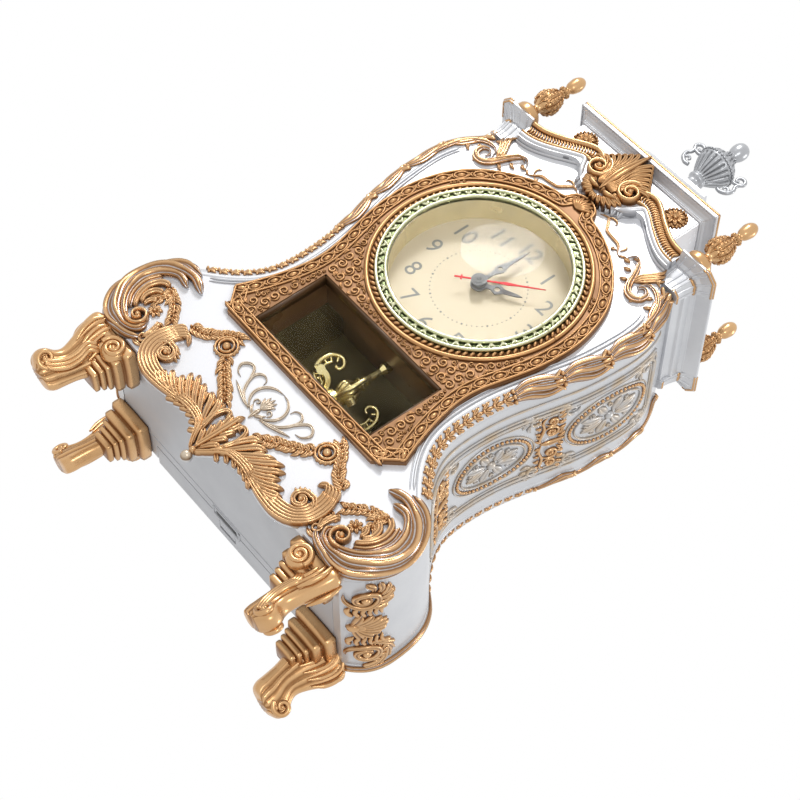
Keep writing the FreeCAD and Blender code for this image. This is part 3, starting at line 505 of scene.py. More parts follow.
# Painted shade: its deepest stop is near black, for the floor under the bezel's fret.
BEZEL_GILT = finish("pale_green_gilt", (0.80, 0.79, 0.58), (0.68, 0.68, 0.47), 0.75, 0.2,
                    hollow_shade=[(0.5, (0.66, 0.68, 0.56)), (0.9, (0.10, 0.12, 0.07))])
REFLECTOR = finish("champagne", (0.86, 0.78, 0.55), (0.80, 0.72, 0.48), 0.7, 0.22)
DIAL_PAINT = finish("cream_dial", (0.515, 0.445, 0.335), (0.49, 0.42, 0.31), 0.0, 0.5, cloud=25.0,
                    Specular_IOR_Level=0.2)
NUMERAL = finish("grey_print", (0.19, 0.19, 0.18), (0.23, 0.23, 0.22), 0.0, 0.5, Specular_IOR_Level=0.1)
BROWN = finish("dark_brown", (0.13, 0.07, 0.03), (0.10, 0.05, 0.02), 0.0, 0.3)
BLACK = finish("black_moulding", (0.02, 0.02, 0.02), (0.03, 0.03, 0.03), 0.0, 0.5)
CELL = finish("cell_sleeve", (0.10, 0.22, 0.13), (0.08, 0.18, 0.11), 0.2, 0.35)
STEEL = finish("screw_steel", (0.58, 0.58, 0.58), (0.50, 0.50, 0.51), 1.0, 0.3)
HAND = finish("grey_hand", (0.21, 0.21, 0.21), (0.16, 0.16, 0.16), 0.0, 0.5, Specular_IOR_Level=0.2)
RED = finish("red_hand", (0.62, 0.05, 0.06), (0.55, 0.04, 0.05), 0.0, 0.5, Specular_IOR_Level=0.1)
IVORY = finish("ivory_knob", (0.78, 0.76, 0.70), (0.72, 0.70, 0.64), 0.0, 0.4)
NATURAL = finish("natural_gear", (0.84, 0.82, 0.76), (0.80, 0.78, 0.72), 0.0, 0.4)
# Painted shade: the ramp darkens the valleys between the bulb's ribs.
ROTOR_GILT = finish("bright_plating", (0.88, 0.76, 0.40), (0.70, 0.57, 0.25), 0.9, 0.2,
                    hollow_shade=[(0.6, (0.6, 0.55, 0.5)), (1.0, (0.2, 0.16, 0.1))])
# A tinted mirror with a khaki diffuse share, which is painted reflection lit by the lamps.
MIRROR = finish("smoked_mirror_painted_reflection", (0.33, 0.275, 0.14), (0.27, 0.22, 0.11), 0.7, 0.04, grain=(300.0, 0.01))
# Painted shade: the ramp darkens the valleys between the gadroons.
URN_SILVER = finish("burnished_silver", (0.50, 0.51, 0.53), (0.44, 0.45, 0.47), 0.6, 0.3,
                    hollow_shade=[(0.4, (0.7, 0.7, 0.7)), (0.9, (0.22, 0.22, 0.23))])


def clear(name):
    """Clear moulded plastic that lets light through to what it covers."""
    mat, tree, shader = blank(name)
    shader.inputs["Base Color"].default_value = (0.97, 0.98, 0.97, 1)
    shader.inputs["Transmission Weight"].default_value = 1.0
    shader.inputs["Roughness"].default_value = 0.02
    shader.inputs["IOR"].default_value = 1.1
    see_through(tree, shader, tree.nodes.new("ShaderNodeLightPath").outputs["Is Shadow Ray"])
    return mat


GLASS = clear("clear_pane")
LOOKS = {"white": WHITE, "silver": SILVER, "gold": GOLD, "plate": PLATE_GROUND, "bezel": BEZEL_GILT,
         "reflector": REFLECTOR, "glass": GLASS, "dial": DIAL_PAINT, "brown": BROWN, "mirror": MIRROR,
         "black": BLACK, "cell": CELL, "grey": GREY, "steel": STEEL, "hand": HAND, "red": RED,
         "knob": IVORY, "gear": NATURAL, "rotor": ROTOR_GILT}
for part in frame["record"]["subparts"]:
    mesh = NODES[part["node"]].data
    mesh.materials.clear()
    mesh.materials.append(LOOKS[part["material_slot"]])


def link(name, data):
    """A new object in the scene."""
    obj = bpy.data.objects.new(name, data)
    bpy.context.collection.objects.link(obj)
    return obj


def piece(name, relief, place, material, body="case", instead=()):
    """Makes one object of a relief, set on its ground."""
    mesh = bpy.data.meshes.new(name)
    verts = place(np.vstack(relief.v)) * MM
    mesh.from_pydata(verts.tolist(), [], relief.f)
    # Each vertex carries its depth of painted shade, which the finishes read.
    mesh.attributes.new("hollow_shade", "FLOAT", "POINT").data.foreach_set("value", np.concatenate(relief.w))
    mesh.polygons.foreach_set("use_smooth", [True] * len(mesh.polygons))
    mesh.materials.append(material)
    work = bmesh.new()
    work.from_mesh(mesh)
    bmesh.ops.recalc_face_normals(work, faces=work.faces)
    work.to_mesh(mesh)
    work.free()
    obj = link(name, mesh)
    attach(obj, body)
    if instead:
        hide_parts(*instead)
    return obj


# Carving of the front
def corner_leaf():
    """A bundle of ridges that rolls round the lower corner into a volute."""
    r = Relief()
    bundle = [([(-79, -104.3), (-88, -106), (-95, -110.5), (-100, -118), (-102, -126), (-101, -134),
                (-97.5, -142), (-92, -148.5), (-85, -152), (-78, -152.8), (-71, -151), (-66.5, -147.5)],
               (3.2, 4.0, 4.4, 4.4, 4.0, 3.0), 4.8),
              ([(-70.5, -110.8), (-80, -108), (-90, -110.8), (-96.6, -118), (-98.6, -126), (-97.6, -134),
                (-94, -141), (-88, -147), (-80, -149.8), (-73, -148.3), (-70.6, -144.5), (-72, -140.5)],
               (4.6, 5.0, 4.6, 4.2, 3.6, 2.6), 5.6),
              ([(-77.5, -113.8), (-86, -112.8), (-92.5, -118), (-95.2, -126), (-94.4, -133), (-91, -139.3),
                (-85.5, -144.3), (-79.5, -146.8), (-74.5, -145.5)], (3.6, 4.4, 4.2, 3.8, 2.6), 5.2),
              ([(-89.5, -119.3), (-92, -126), (-91.5, -132), (-89, -137.5), (-84.5, -142)],
               (2.6, 3.8, 3.6, 2.6), 4.6),
              ([(-82.5, -119.6), (-87, -122), (-89, -127), (-88.3, -132), (-86, -136.5), (-83, -140)],
               (3.4, 3.6, 3.2, 2.4), 4.8),
              ([(-81.5, -124.5), (-85, -127), (-85.8, -131.5), (-83.6, -136)], (3.0, 3.2, 2.2), 4.2),
              ([(-79.5, -129.5), (-82.2, -132), (-81.8, -135.8)], (2.4, 2.6, 1.8), 3.4)]
    for path, width, height in bundle:
        r.strand(path, width, height, cut=REED2 if max(width) > 3.7 else VEINED, ends=(0.05, 0.05))
    eye = (-77.3, -142.0)
    r.strand(spiral(*eye, 6.2, 1.3, 200, 1.6), (2.6, 2.6, 1.8), 5.4, ends=(0.1, 0.05))
    r.bead(*eye, 2.0, 6.0)
    for x, y in ((-68.5, -135.4), (-66.8, -137.2), (-64.6, -139)):
        r.blade([(-67, -147), (0.5 * (x - 67) + 0.8, 0.5 * (y - 147)), (x, y)], 2.6, 3.4)
    return r


def sprays():
    """Loose leaves and flowers laid on the white ground."""
    r = Relief()

    def branch(path, size, count):
        c = spline(path, 0.5)
        for i in range(count):
            k = int((len(c) - 2) * i / (count - 1))
            d = c[k + 1] - c[k]
            base = atan2(d[1], d[0])
            for s in (-1, 1):
                a = base + s * RNG.uniform(0.7, 1.15)
                q = size * RNG.uniform(0.85, 1.15)
                r.leaf([c[k], polar(*c[k], 0.55 * q, a), polar(*c[k], q, a - 0.35 * s)],
                       0.5 * size, 2.2, step=0.4)
            r.pearl(*(c[k] + [RNG.uniform(-0.7, 0.7), RNG.uniform(-0.7, 0.7)]), 0.8, 2.7)
        r.strand(path, 1.1, 1.6)

    branch([(-82, -121), (-76, -122.5), (-70, -127), (-65.5, -131.5)], 4.6, 9)
    branch([(-82, -119.5), (-79, -124), (-81, -128.5)], 5.0, 6)
    branch([(-57.5, -125.5), (-51, -123.5), (-46, -118.5), (-42, -114), (-37.5, -112)], 4.7, 13)
    branch([(-33.5, -123.5), (-28, -128.5), (-21, -133), (-13.5, -138.5)], 4.8, 13)
    branch([(-69, -137), (-64, -138.5), (-60, -140.5)], 3.4, 4)
    r.flower(-76, -133.5, 3.8, 7, 2.4)
    boss = (-38, -119.8)
    for radius, height in ((5.3, 2.2), (3.6, 2.8)):
        r.band(spiral(*boss, radius, radius, 0, 1.0), 1.5, height)
    r.pearls(*boss, 5.6, 5.6, 16, 0.9, 1.9)
    r.bead(*boss, 2.4, 3.6)
    r.strand(spiral(-66, -147, 3.0, 0.8, 80, 1.4), 1.5, 2.4)
    r.leaf([(-63, -150), (-67, -151), (-71, -149.5)], 2.4, 2.2)
    return r.paired()


def apron():
    """Acanthus along the lower edge that meets in a palmette over a pearl."""
    r = Relief()
    for k in range(5):
        x = 1.75 * k
        r.strand([(-59.6 + 0.9 * x, -129.6 - 0.4 * x), (-62.6 + x, -136), (-63.4 + x, -143),
                  (-61.6 + x, -149.6 + 0.2 * x), (-56.4 + 0.7 * x, -155.2 + 0.7 * x),
                  (-48.4 + 0.3 * x, -157.8 + 0.9 * x), (-39.4 - 0.2 * x, -157.4 + 0.8 * x),
                  (-31.0 - 0.6 * x, -156.0 + 0.6 * x), (-24.0 - 0.8 * x, -154.4 + 0.5 * x)],
                 (1.8, 2.8, 3.0, 2.6, 1.8), (4.4, 5.0 - 0.2 * k, 4.6 - 0.2 * k, 3.6), cut=VEINED,
                 ends=(0.06, 0.06))
    for k in range(4):
        r.blade([(-62.4 + 2.0 * k, -139.5), (-61.4 + 1.9 * k, -134.0), (-59.0 + 2.1 * k, -129.4 - 0.4 * k),
                 (-55.8 + 2.2 * k, -129.2 - 1.5 * k)], 2.6, 4.6)
    eye = (-51.4, -144.4)
    r.strand([(-59.5, -146), (-57.8, -141.6), (-54.6, -139.4)] + spiral(*eye, 5.0, 1.2, 110, -1.4),
             (2.2, 3.2, 3.0, 2.6, 1.7), 5.0, cut=VEINED, ends=(0.1, 0.05))
    for i in range(8):
        a = radians(165 - 21 * i)
        r.strand([polar(*eye, 4.6, a), polar(*polar(*eye, 6.8, a), 0.6, a - 0.5 * pi)], 1.7, 4.4)
    r.bead(*eye, 1.7, 5.4)
    stem = [(-1.2, -166.5), (-4.7, -162.4), (-8.6, -157.4), (-12.6, -154.6), (-21.0, -153.9),
            (-30.0, -155.6)]
    for k in range(3):
        r.strand([(x - 0.2 * k, z + 1.7 * k * i / 5) for i, (x, z) in enumerate(stem)], (1.7, 2.6, 2.6, 1.8),
                 4.8 - 0.3 * k, cut=VEINED, ends=(0.05, 0.1))
    fingers = (((-6.0, -158), (-9.5, -148.5), (-12.6, -142.2), (-16.4, -138.6)),
               ((-8.0, -156.5), (-13.0, -149), (-17.0, -143.2), (-21.2, -139.8)),
               ((-10.0, -155.5), (-17.0, -149.6), (-22.6, -144.2), (-27.0, -139.4)),
               ((-13.0, -154.8), (-21.5, -149.6), (-27.6, -143.8), (-32.2, -138.6)),
               ((-16.0, -154.4), (-25.5, -150.2), (-31.6, -145.2), (-35.6, -140.6)),
               ((-20.0, -154.4), (-28.5, -151.6), (-33.8, -148.0), (-37.0, -144.4)),
               ((-24.0, -155.0), (-32.5, -153.0), (-38.2, -150.0), (-42.2, -146.4)),
               ((-28.0, -155.6), (-36.0, -154.4), (-41.2, -152.2), (-44.8, -149.4)),
               ((-32.0, -156.3), (-39.5, -155.8), (-44.4, -154.0), (-47.6, -151.6)))
    for i, path in enumerate(fingers):
        r.blade(path, 3.5, 4.9 - 0.25 * (i % 3))
        (x0, z0), (x1, z1) = path[1], path[2]
        r.blade([path[1], (0.5 * (x0 + x1) + 0.4, 0.5 * (z0 + z1) + 1.5), (x1 + 1.0, z1 + 3.0)], 2.4, 3.8)
    tips = ((-30.6, -158.0), (-26.4, -156.8), (-22.2, -156.2), (-17.8, -156.2), (-13.6, -157.4),
            (-10.2, -160.4))
    for i, (x, z) in enumerate(tips):
        r.blade([(x + 4.4, z + 2.4), (x + 1.6, z + 1.2), (x - 1.2, z - 0.4)], 2.6, 3.6 - 0.1 * i)
    r.strand([(-7.4, -156.0), (-9.0, -150), (-9.0, -145.4), (-7.6, -141.6), (-5.0, -141.0), (-4.4, -143.2),
              (-6.0, -143.8)], (2.0, 2.6, 2.6, 2.2, 1.6), 4.6, cut=VEINED, ends=(0.08, 0.08))
    for k in range(4):
        z = -161.0 + 4.8 * k
        r.blade([(-0.4, z - 3), (-2.4, z + 1.0), (-5.0 + 0.6 * k, z + 4.8), (-7.0 + 0.9 * k, z + 5.6)],
                3.1, 4.5)
    r.blade([(-2.8, -164), (-6.2, -159.4), (-9.2, -153.8)], 2.8, 4.2)
    r.paired()
    r.strand([(0, -165), (0, -150), (0, -136.8)], (1.8, 2.8, 3.2, 2.2), 5.6, cut=VEINED, ends=(0.05, 0.12))
    r.bead(0, -165.6, 2.2, 4.4, stretch=0.9)
    return r


def lyre():
    """Thin pale scrolls round a small palmette, between the garlands."""
    r = Relief()
    scrolls = (
        [(-10.2, -119.5), (-11, -116.8), (-14, -115.8), (-16.5, -117.5), (-17, -120.5), (-15, -125.5),
         (-12, -129), (-7, -131.5), (-2, -131.5)],
        [(-20.5, -124.5), (-24, -123.5), (-26, -120), (-24, -117), (-21, -116.5), (-18.5, -119),
         (-15.5, -124), (-12.5, -128.5)],
        [(-20.5, -127.2), (-15, -129.2), (-10, -131), (-4, -132.5)],
        [(-2, -131.8), (-6, -130.5), (-9, -127), (-9.7, -123), (-8, -119), (-4.5, -116.3), (0, -115.3)])
    for path in scrolls:
        r.strand(path, (0.9, 1.5, 1.5, 1.0), 1.5, cut=HOLLOW)
    r.strand(spiral(-4.2, -127, 2.0, 0.5, 250, -1.1), 0.9, 1.2)
    r.leaf([(-0.5, -133), (-3.4, -131), (-4.6, -128.8)], 1.8, 1.6)
    r.paired()
    for a in (-0.9, -0.45, 0, 0.45, 0.9):
        r.leaf([(0, -128.5), upright(-126, 3, 2, a), upright(-127.5, 5, 7.5, a)], 2.1, 1.9, step=0.5)
    r.leaf([(0, -128), (0, -131.5), (0, -135.5)], 2.4, 1.8)
    return r


def upper_scrolls():
    """S-scrolls with leaves under the capitals, and a moulding that runs down the panel's edge."""
    r = Relief()
    main = [(37, 60.5), (39, 63.6), (42, 63.6), (45, 60), (47.5, 55), (50, 49.5), (53, 46.2), (57, 45.6),
            (60, 48), (60, 52), (57, 54), (54.6, 52.3), (55.5, 49.8)]
    r.strand(main, (1.6, 2.8, 3.8, 4.0, 3.2, 2.0), 3.6, cut=REED2)
    r.strand([(39.5, 62), (43, 62.5), (46.5, 57.5), (49.5, 51.5), (53, 48)], (0.8, 1.6, 0.9), 4.2)
    for k in range(3):
        r.strand([(49.5, 50 + k), (50.2 + 1.5 * k, 57), (53 + 1.4 * k, 62 - 0.6 * k),
                  (55.2 + 1.6 * k, 66.6 - 1.8 * k), (54.2 + 2.2 * k, 70.4 - 2.6 * k)], (1.4, 2.4, 2.4, 1.4),
                 3.2 - 0.3 * k, cut=VEINED)
    r.strand([(53, 52), (55, 56.5), (59, 57.3), (64, 55.3), (68.6, 50.5), (71.6, 43), (72.8, 34),
              (72.6, 24)], (1.6, 3.0, 2.6, 1.4), 2.6, cut=REED2)
    for x, z, a in ((40, 60, 200), (44, 57, 215), (47, 52, 225), (63, 53.4, 240), (67, 49, 235),
                    (57.5, 47.5, 280)):
        lean = radians(a)
        tip = polar(*polar(x, z, 4.2, lean), 1.2, lean - 0.5 * pi)
        r.leaf([(x, z), polar(x, z, 2.4, lean), tip], 2.2, 2.4)
    r.leaf([(52, 61), (56, 61.8), (60, 60.5)], 2.4, 2.6)
    return r.paired()


def accents():
    """Wavy pale twigs above the dial."""
    r = Relief()
    r.strand([(8, 69.3), (12.5, 70.6), (15.5, 67.6), (18.2, 64.6), (23, 63.6), (28, 62.8), (31, 59.8),
              (34.5, 57.8)], (1.0, 1.9, 1.6, 1.7, 1.0), 1.7, cut=HOLLOW)
    r.strand([(12, 70.5), (15, 72.2), (18, 71.6), (18, 69.8)], (1.0, 1.2, 0.7), 1.4)
    r.strand([(31.5, 60.5), (32.5, 64), (30.8, 66)], (0.9, 1.3, 0.7), 1.3)
    r.strand([(30, 60.4), (27.6, 58.6), (27.8, 61)], (0.9, 1.2, 0.7), 1.3)
    r.leaf([(33, 58.6), (34.8, 59.4), (36, 61)], 1.4, 1.3)
    return r.paired()


piece("corner_leaf_left", corner_leaf(), round_corner, LEAF_GILT, instead=["corner_acanthus_left"])
piece("corner_leaf_right", corner_leaf().mirrored(), round_corner, LEAF_GILT,
      instead=["corner_acanthus_right"])
piece("apron_leaf", apron(), on_front, LEAF_GILT, instead=["apron_acanthus"])
pearl = Relief()
pearl.bead(0, -169.2, 2.9, 3.6, seg=20, rows=6)
piece("apron_pearl", pearl, on_front, PALE_GILT)
piece("garlands", sprays(), on_front, LEAF_GILT)
piece("lyre_scrolls", lyre(), on_front, PALE_GILT)
piece("upper_scrolls", upper_scrolls(), on_front, LEAF_GILT)
piece("twig_accents", accents(), on_front, LEAF_GILT)


# Borders along the case's front and rear corners
def edge_border(z0, z1, z_leaf, z_foot=None):
    """Leaf bundles with collars above z_leaf, a chain of husks below it, and a long leaf under z_foot."""
    r = Relief()
    s0, s1, s2 = CASE.s_at(z0), CASE.s_at(z_leaf), CASE.s_at(z1)
    if z_foot is not None:
        end = CASE.s_at(z_foot)
        for k in range(3):
            x = -3.0 + 3.0 * k
            r.strand([(x, s0), (x + 0.8, 0.5 * (s0 + end)), (0.4 * x + 0.5, end + 3 * k)],
                     (3.4, 3.6, 2.0), 2.8, cut=REED2, ends=(0.02, 0.2))
        s0 = end
    n = max(1, round((s2 - s1) / 24.0))
    pitch = (s2 - s1) / n
    for i in range(n):
        a = s1 + pitch * i
        for x0, x1, wide in ((-2.8, -3.6, 3.4), (0.0, 0.2, 3.6), (2.8, 3.8, 3.4)):
            r.strand([(0.5 * x0, a + 0.2), (x0 - 0.6, a + 0.3 * pitch), (x1 + 0.8, a + 0.68 * pitch),
                      (0.45 * x1 + 1.2, a + 1.04 * pitch)], (1.8, wide, wide, 1.6), 2.3, cut=REED2,
                     ends=(0.06, 0.1))
        for x in (-2.6, 0.2, 3.0):
            r.blade([(0.4 * x, a + 0.80 * pitch), (x, a + 0.93 * pitch), (1.5 * x, a + 1.02 * pitch)],
                    2.0, 2.7)
        for x in (-2.2, 0.0, 2.2):
            r.bead(x, a + 0.2, 1.2, 2.7)
    n = max(1, round((s1 - s0) / 5.6))
    pitch = (s1 - s0) / n
    for i in range(n):
        a = s0 + pitch * i
        for x in (-1, 1):
            r.leaf([(0.3 * x, a), (1.5 * x, a + 0.4 * pitch), (2.7 * x, a + 0.95 * pitch)],
                   1.9, 2.2, fat=0.55)
            r.pearl(2.4 * x, a + 0.3 * pitch, 0.75, 1.5)
        r.leaf([(0, a + 0.2 * pitch), (0, a + 0.7 * pitch), (0, a + 1.15 * pitch)], 1.8, 2.6)
        r.pearl(0, a + 0.08 * pitch, 0.95, 2.5)
    return r


def panel_line():
    """Silver bead that follows the front's outline inside its border."""
    r = Relief()
    s = np.linspace(CASE.s_at(-96), CASE.s_at(47), 90)
    p, n = CASE.at(s)
    for inset, wide in ((7.4, 1.5), (9.2, 0.8)):
        r.strand(p - n * inset, wide, 0.9, ends=(0.02, 0.02), step=1.2)
    return r.paired()


piece("panel_line", panel_line(), on_front, SILVER)
Z_BORDER = (low("front_border_right")[2] - DZ, high("front_border_right")[2] - DZ)
front_edge = edge_border(Z_BORDER[0], Z_BORDER[1] - 1.0, -34.0)
rear_edge = edge_border(low("rear_border_right")[2] - DZ + 0.5, high("rear_border_right")[2] - DZ - 0.5,
                        -20.0, -98.0)
EDGES = (("front", front_edge, YF, 1), ("rear", rear_edge, YR, -1))
# Silver ground under the carved borders, the whole length of each corner
corner_band = Relief()
corner_line = [(0, q) for q in np.linspace(0.0, CASE.s_at(Z_BORDER[1] - 1.0), 60)]
corner_band.band(corner_line, 0.5 * pi * CORNER + 1.2, 0.35, step=2.0, sink=2.0, cut=FLAT, shade=0.0)


def edge_ground(y_edge, sense, flip):
    """Ground of one upright corner; flip is 1 on the right, -1 on the left."""
    return lambda v: on_edge(v, y_edge, sense) * [flip, 1, 1]


for side, flip in SIDES:
    for name, relief, y_edge, sense in EDGES:
        piece(f"{name}_border_{side}_carving", relief, edge_ground(y_edge, sense, flip), LEAF_GILT,
              instead=[f"{name}_border_{side}"])
    for name, _, y_edge, sense in EDGES:
        piece(f"corner_ground_{name}_{side}", corner_band, edge_ground(y_edge, sense, flip),
              SILVER)


def on_cover(v):
    """Ground of the rear, seen from the front."""
    return np.stack([v[:, 0], YR + v[:, 2], DZ + v[:, 1]], axis=1)


def cover_frame():
    """Raised lines round the rear cover, and a framed field with louvre lines."""
    r = Relief()
    q = np.linspace(CASE.s_at(-138), CASE.s_at(50), 80)
    p, n = CASE.at(q)
    for inset, wide in ((13.0, 1.6), (16.0, 0.9)):
        line = p - n * inset
        half = np.vstack([[[0.0, line[0, 1]]], line, [[0.0, line[-1, 1]]]])
        r.band(half, wide, 0.7, step=1.5)
    r.paired()
    r.band(rounded_frame(-30, 30, -40, 36, 6), 1.4, 0.7, step=1.2)
    for k in range(9):
        r.strand([(-18, -34 + 2.6 * k), (18, -34 + 2.6 * k)], 1.1, 0.6, ends=(0.04, 0.04), step=2.0)
    return r


piece("cover_frame", cover_frame(), on_cover, GREY, body="rear_cover")
# Silver faces at the deck's rear, beside the capitals
returns = Relief()
returns.band([(50.0, low("top_deck")[2] - DZ + 0.3), (50.0, high("top_deck")[2] - DZ - 0.3)], 16.0, 0.5,
             lift=-1.4, sink=14.0, cut=FLAT, shade=0.0)
piece("deck_returns", returns.paired(), on_cover, SILVER)


# Pediment: ribbed gilt arms over a silver band, a shell between them, and two rosettes
Z_ARM = Z_TOP - 4.0
ARM = [(54.0, 5.0), (48.0, 5.6), (42.0, 7.6), (34.0, 11.9), (27.0, 16.3), (21.5, 18.6),
       (16.0, 17.6), (12.0, 13.8)]


def lowered(path, drop=0.0):
    """A path given from the arm's foot, moved down."""
    return [(x, Z_ARM + z - drop) for x, z in path]


def arms():
    """Gilt ridges with a ribbed hollow between them, ending in volutes."""
    r = Relief()
    r.strand(lowered(ARM, -0.9), (3.0, 3.2, 3.4, 3.2), 3.0, ends=(0, 0.1), lift=4.0)
    r.strand(lowered(ARM, 6.6), (1.5, 1.7, 1.5), 2.6, ends=(0, 0.1), lift=3.9)
    r.band(lowered(ARM, 3.0), 6.6, 0.6, lift=3.9)
    c = spline(lowered(ARM, 3.1), 1.5)
    for i in range(1, len(c) - 2):
        d = (c[i + 1] - c[i - 1]) / np.linalg.norm(c[i + 1] - c[i - 1])
        n = np.array([-d[1], d[0]])
        r.strand([c[i] + 2.3 * n, c[i] + 0.5 * d, c[i] - 2.5 * n - 0.9 * d], 1.25, 1.7, lift=4.2, step=0.5)
    eye = (11.2, Z_ARM + 11.0)
    r.strand(spiral(*eye, 7.4, 1.2, 75, 1.9, n=40), (3.0, 2.8, 2.4, 1.8), 3.8, lift=5.4, ends=(0.05, 0.05))
    r.bead(*eye, 1.9, 5.0, lift=5.0)
    return r.paired()


def arm_band():
    """Silver moulding under the arms, scalloped towards the middle."""
    r = Relief()
    r.strand(lowered(ARM[:6] + [(17.5, 13.4), (13.0, 8.4)], 7.6), (3.4, 3.6, 3.4), 2.6,
             ends=(0, 0.1), lift=3.2)
    r.strand(lowered(ARM[:6] + [(17.0, 13.6), (12.0, 8.8)], 10.2), 1.3, 1.4, ends=(0, 0.1), lift=0.2)
    for x, z in ((14.5, 0.6), (11.6, -0.8), (8.6, -1.8), (5.4, -2.6)):
        r.leaf(lowered([(x - 0.6, z + 3.4), (x + 0.4, z + 0.8), (x + 0.9, z - 1.4)]), 3.4, 4.2)
    r.paired()
    r.leaf(lowered([(0, 1.6), (0, -1.6), (0, -4.4)]), 4.6, 4.6)
    return r


def shell():
    """Ruffled leaves that rise between the volutes, with a spike over the cornice and a fan below."""
    r = Relief()
    for i in range(7):
        x = 2.2 + 1.6 * i
        top = 33.0 - 2.4 * i
        r.strand(lowered([(0.8 + 0.5 * i, 4), (2.0 + 0.5 * x, 11), (x, 0.55 * top + 5),
                          (x + 2.4 + 0.5 * i, top - 1.4), (x + 5.0 + 0.4 * i, top - 3.6)]),
                 (1.4, 1.9, 2.4, 2.6, 1.6), (2.0, 2.8, 3.2, 2.4), cut=VEINED, ends=(0.05, 0.15),
                 lift=(7.6 - 0.3 * i, 7.4 - 0.35 * i, 6.0 - 0.2 * i, 4.6))
    for i in range(7):
        a = radians(84 + 15 * i)
        fan = [upright(z, rx, rz, a) for z, rx, rz in ((4.0, 5.5, 5.0), (4.6, 10.5, 8.0), (5.2, 13.6, 9.6))]
        r.strand(lowered(fan), (1.6, 2.6, 2.2), 2.6, cut=VEINED, ends=(0.05, 0.2), lift=(5.0, 4.6, 4.0))
    r.strand(lowered([(1.0, 2.0), (5.4, 1.8), (9.6, 3.4)]), (2.0, 2.6, 1.6), 3.4, lift=5.6)
    r.paired()
    r.leaf(lowered([(0, 1.0), (0, 16), (0, 35.5)]), 4.6, 3.6, lift=(7.2, 7.8, 6.6), fat=0.35)
    r.bead(0, Z_ARM + 3.5, 2.6, 8.6)
    return r


def rosettes():
    """A flower in a beaded rim on each side."""
    r = Relief()
    for x in (-32.4, 32.4):
        z = Z_TOP + 17.8
        r.bead(x, z, 6.2, 0.7, rows=2, seg=32)
        r.flower(x, z, 5.2, 8, 1.9, lift=0.4, eye=0.3)
        r.pearls(x, z, 5.9, 5.9, 20, 0.85, 1.3)
    return r


piece("pediment_arms", arms(), on_front, GOLD, instead=["pediment_scrolls"])
piece("pediment_band", arm_band(), on_front, SILVER)
piece("pediment_shell", shell(), on_front, GOLD, instead=["shell_cartouche"])
piece("rosette_pair", rosettes(), on_front, GOLD, instead=["rosettes"])


# Embossed plate round the dial and the window
WIN_HALF = 43.2
Z_SILL, Z_LINTEL = -100.3, -58.3
PLATE_FOOT = PLATE.p[0]
R_CLEAR = 55.0
FIELD_X, FIELD_Z, FIELD_STEP = (0.9, 66.0), (-107.0, 30.0), 0.8
SCROLL_SIZES = (2.9, 2.2, 1.5, 0.9)


def plate_path(inset):
    """Right half of the plate's outline moved inwards, foot to crown."""
    s = np.linspace(0, PLATE.length, 160)
    p, n = PLATE.at(s)
    q = p - n * inset
    q = q[(q[:, 0] > 0) & (q[:, 1] > PLATE_FOOT[1] + inset)]
    return np.vstack([[[0, PLATE_FOOT[1] + inset]], q])


def chain(r, path, pitch, height, wide):
    """Ovals and crossed ribbons by turns along a path."""
    c = spline(path, 0.5)
    step = int(round(pitch / 0.5))
    for i in range(step // 2, len(c) - step // 3, step):
        d = c[min(i + 1, len(c) - 1)] - c[i - 1]
        a = atan2(d[1], d[0])
        r.bead(*c[i], 0.30 * wide, height, stretch=1.75, turn=a, seg=16)
        ring = oval(0, 0, 0.36 * pitch, 0.46 * wide, 15)
        r.band([c[i] + [x * cos(a) - y * sin(a), x * sin(a) + y * cos(a)] for x, y in ring],
               0.9, 0.8 * height, step=0.7)
        j = min(i + step // 2, len(c) - 2)
        d = c[j + 1] - c[j - 1]
        d = d / np.linalg.norm(d)
        n = np.array([-d[1], d[0]])
        for s in (-1, 1):
            r.strand([c[j] - 1.6 * d - 0.42 * wide * s * n, c[j], c[j] + 1.6 * d + 0.42 * wide * s * n],
                     1.0, 0.85 * height, step=0.6)
        r.bead(*c[j], 0.9, height)


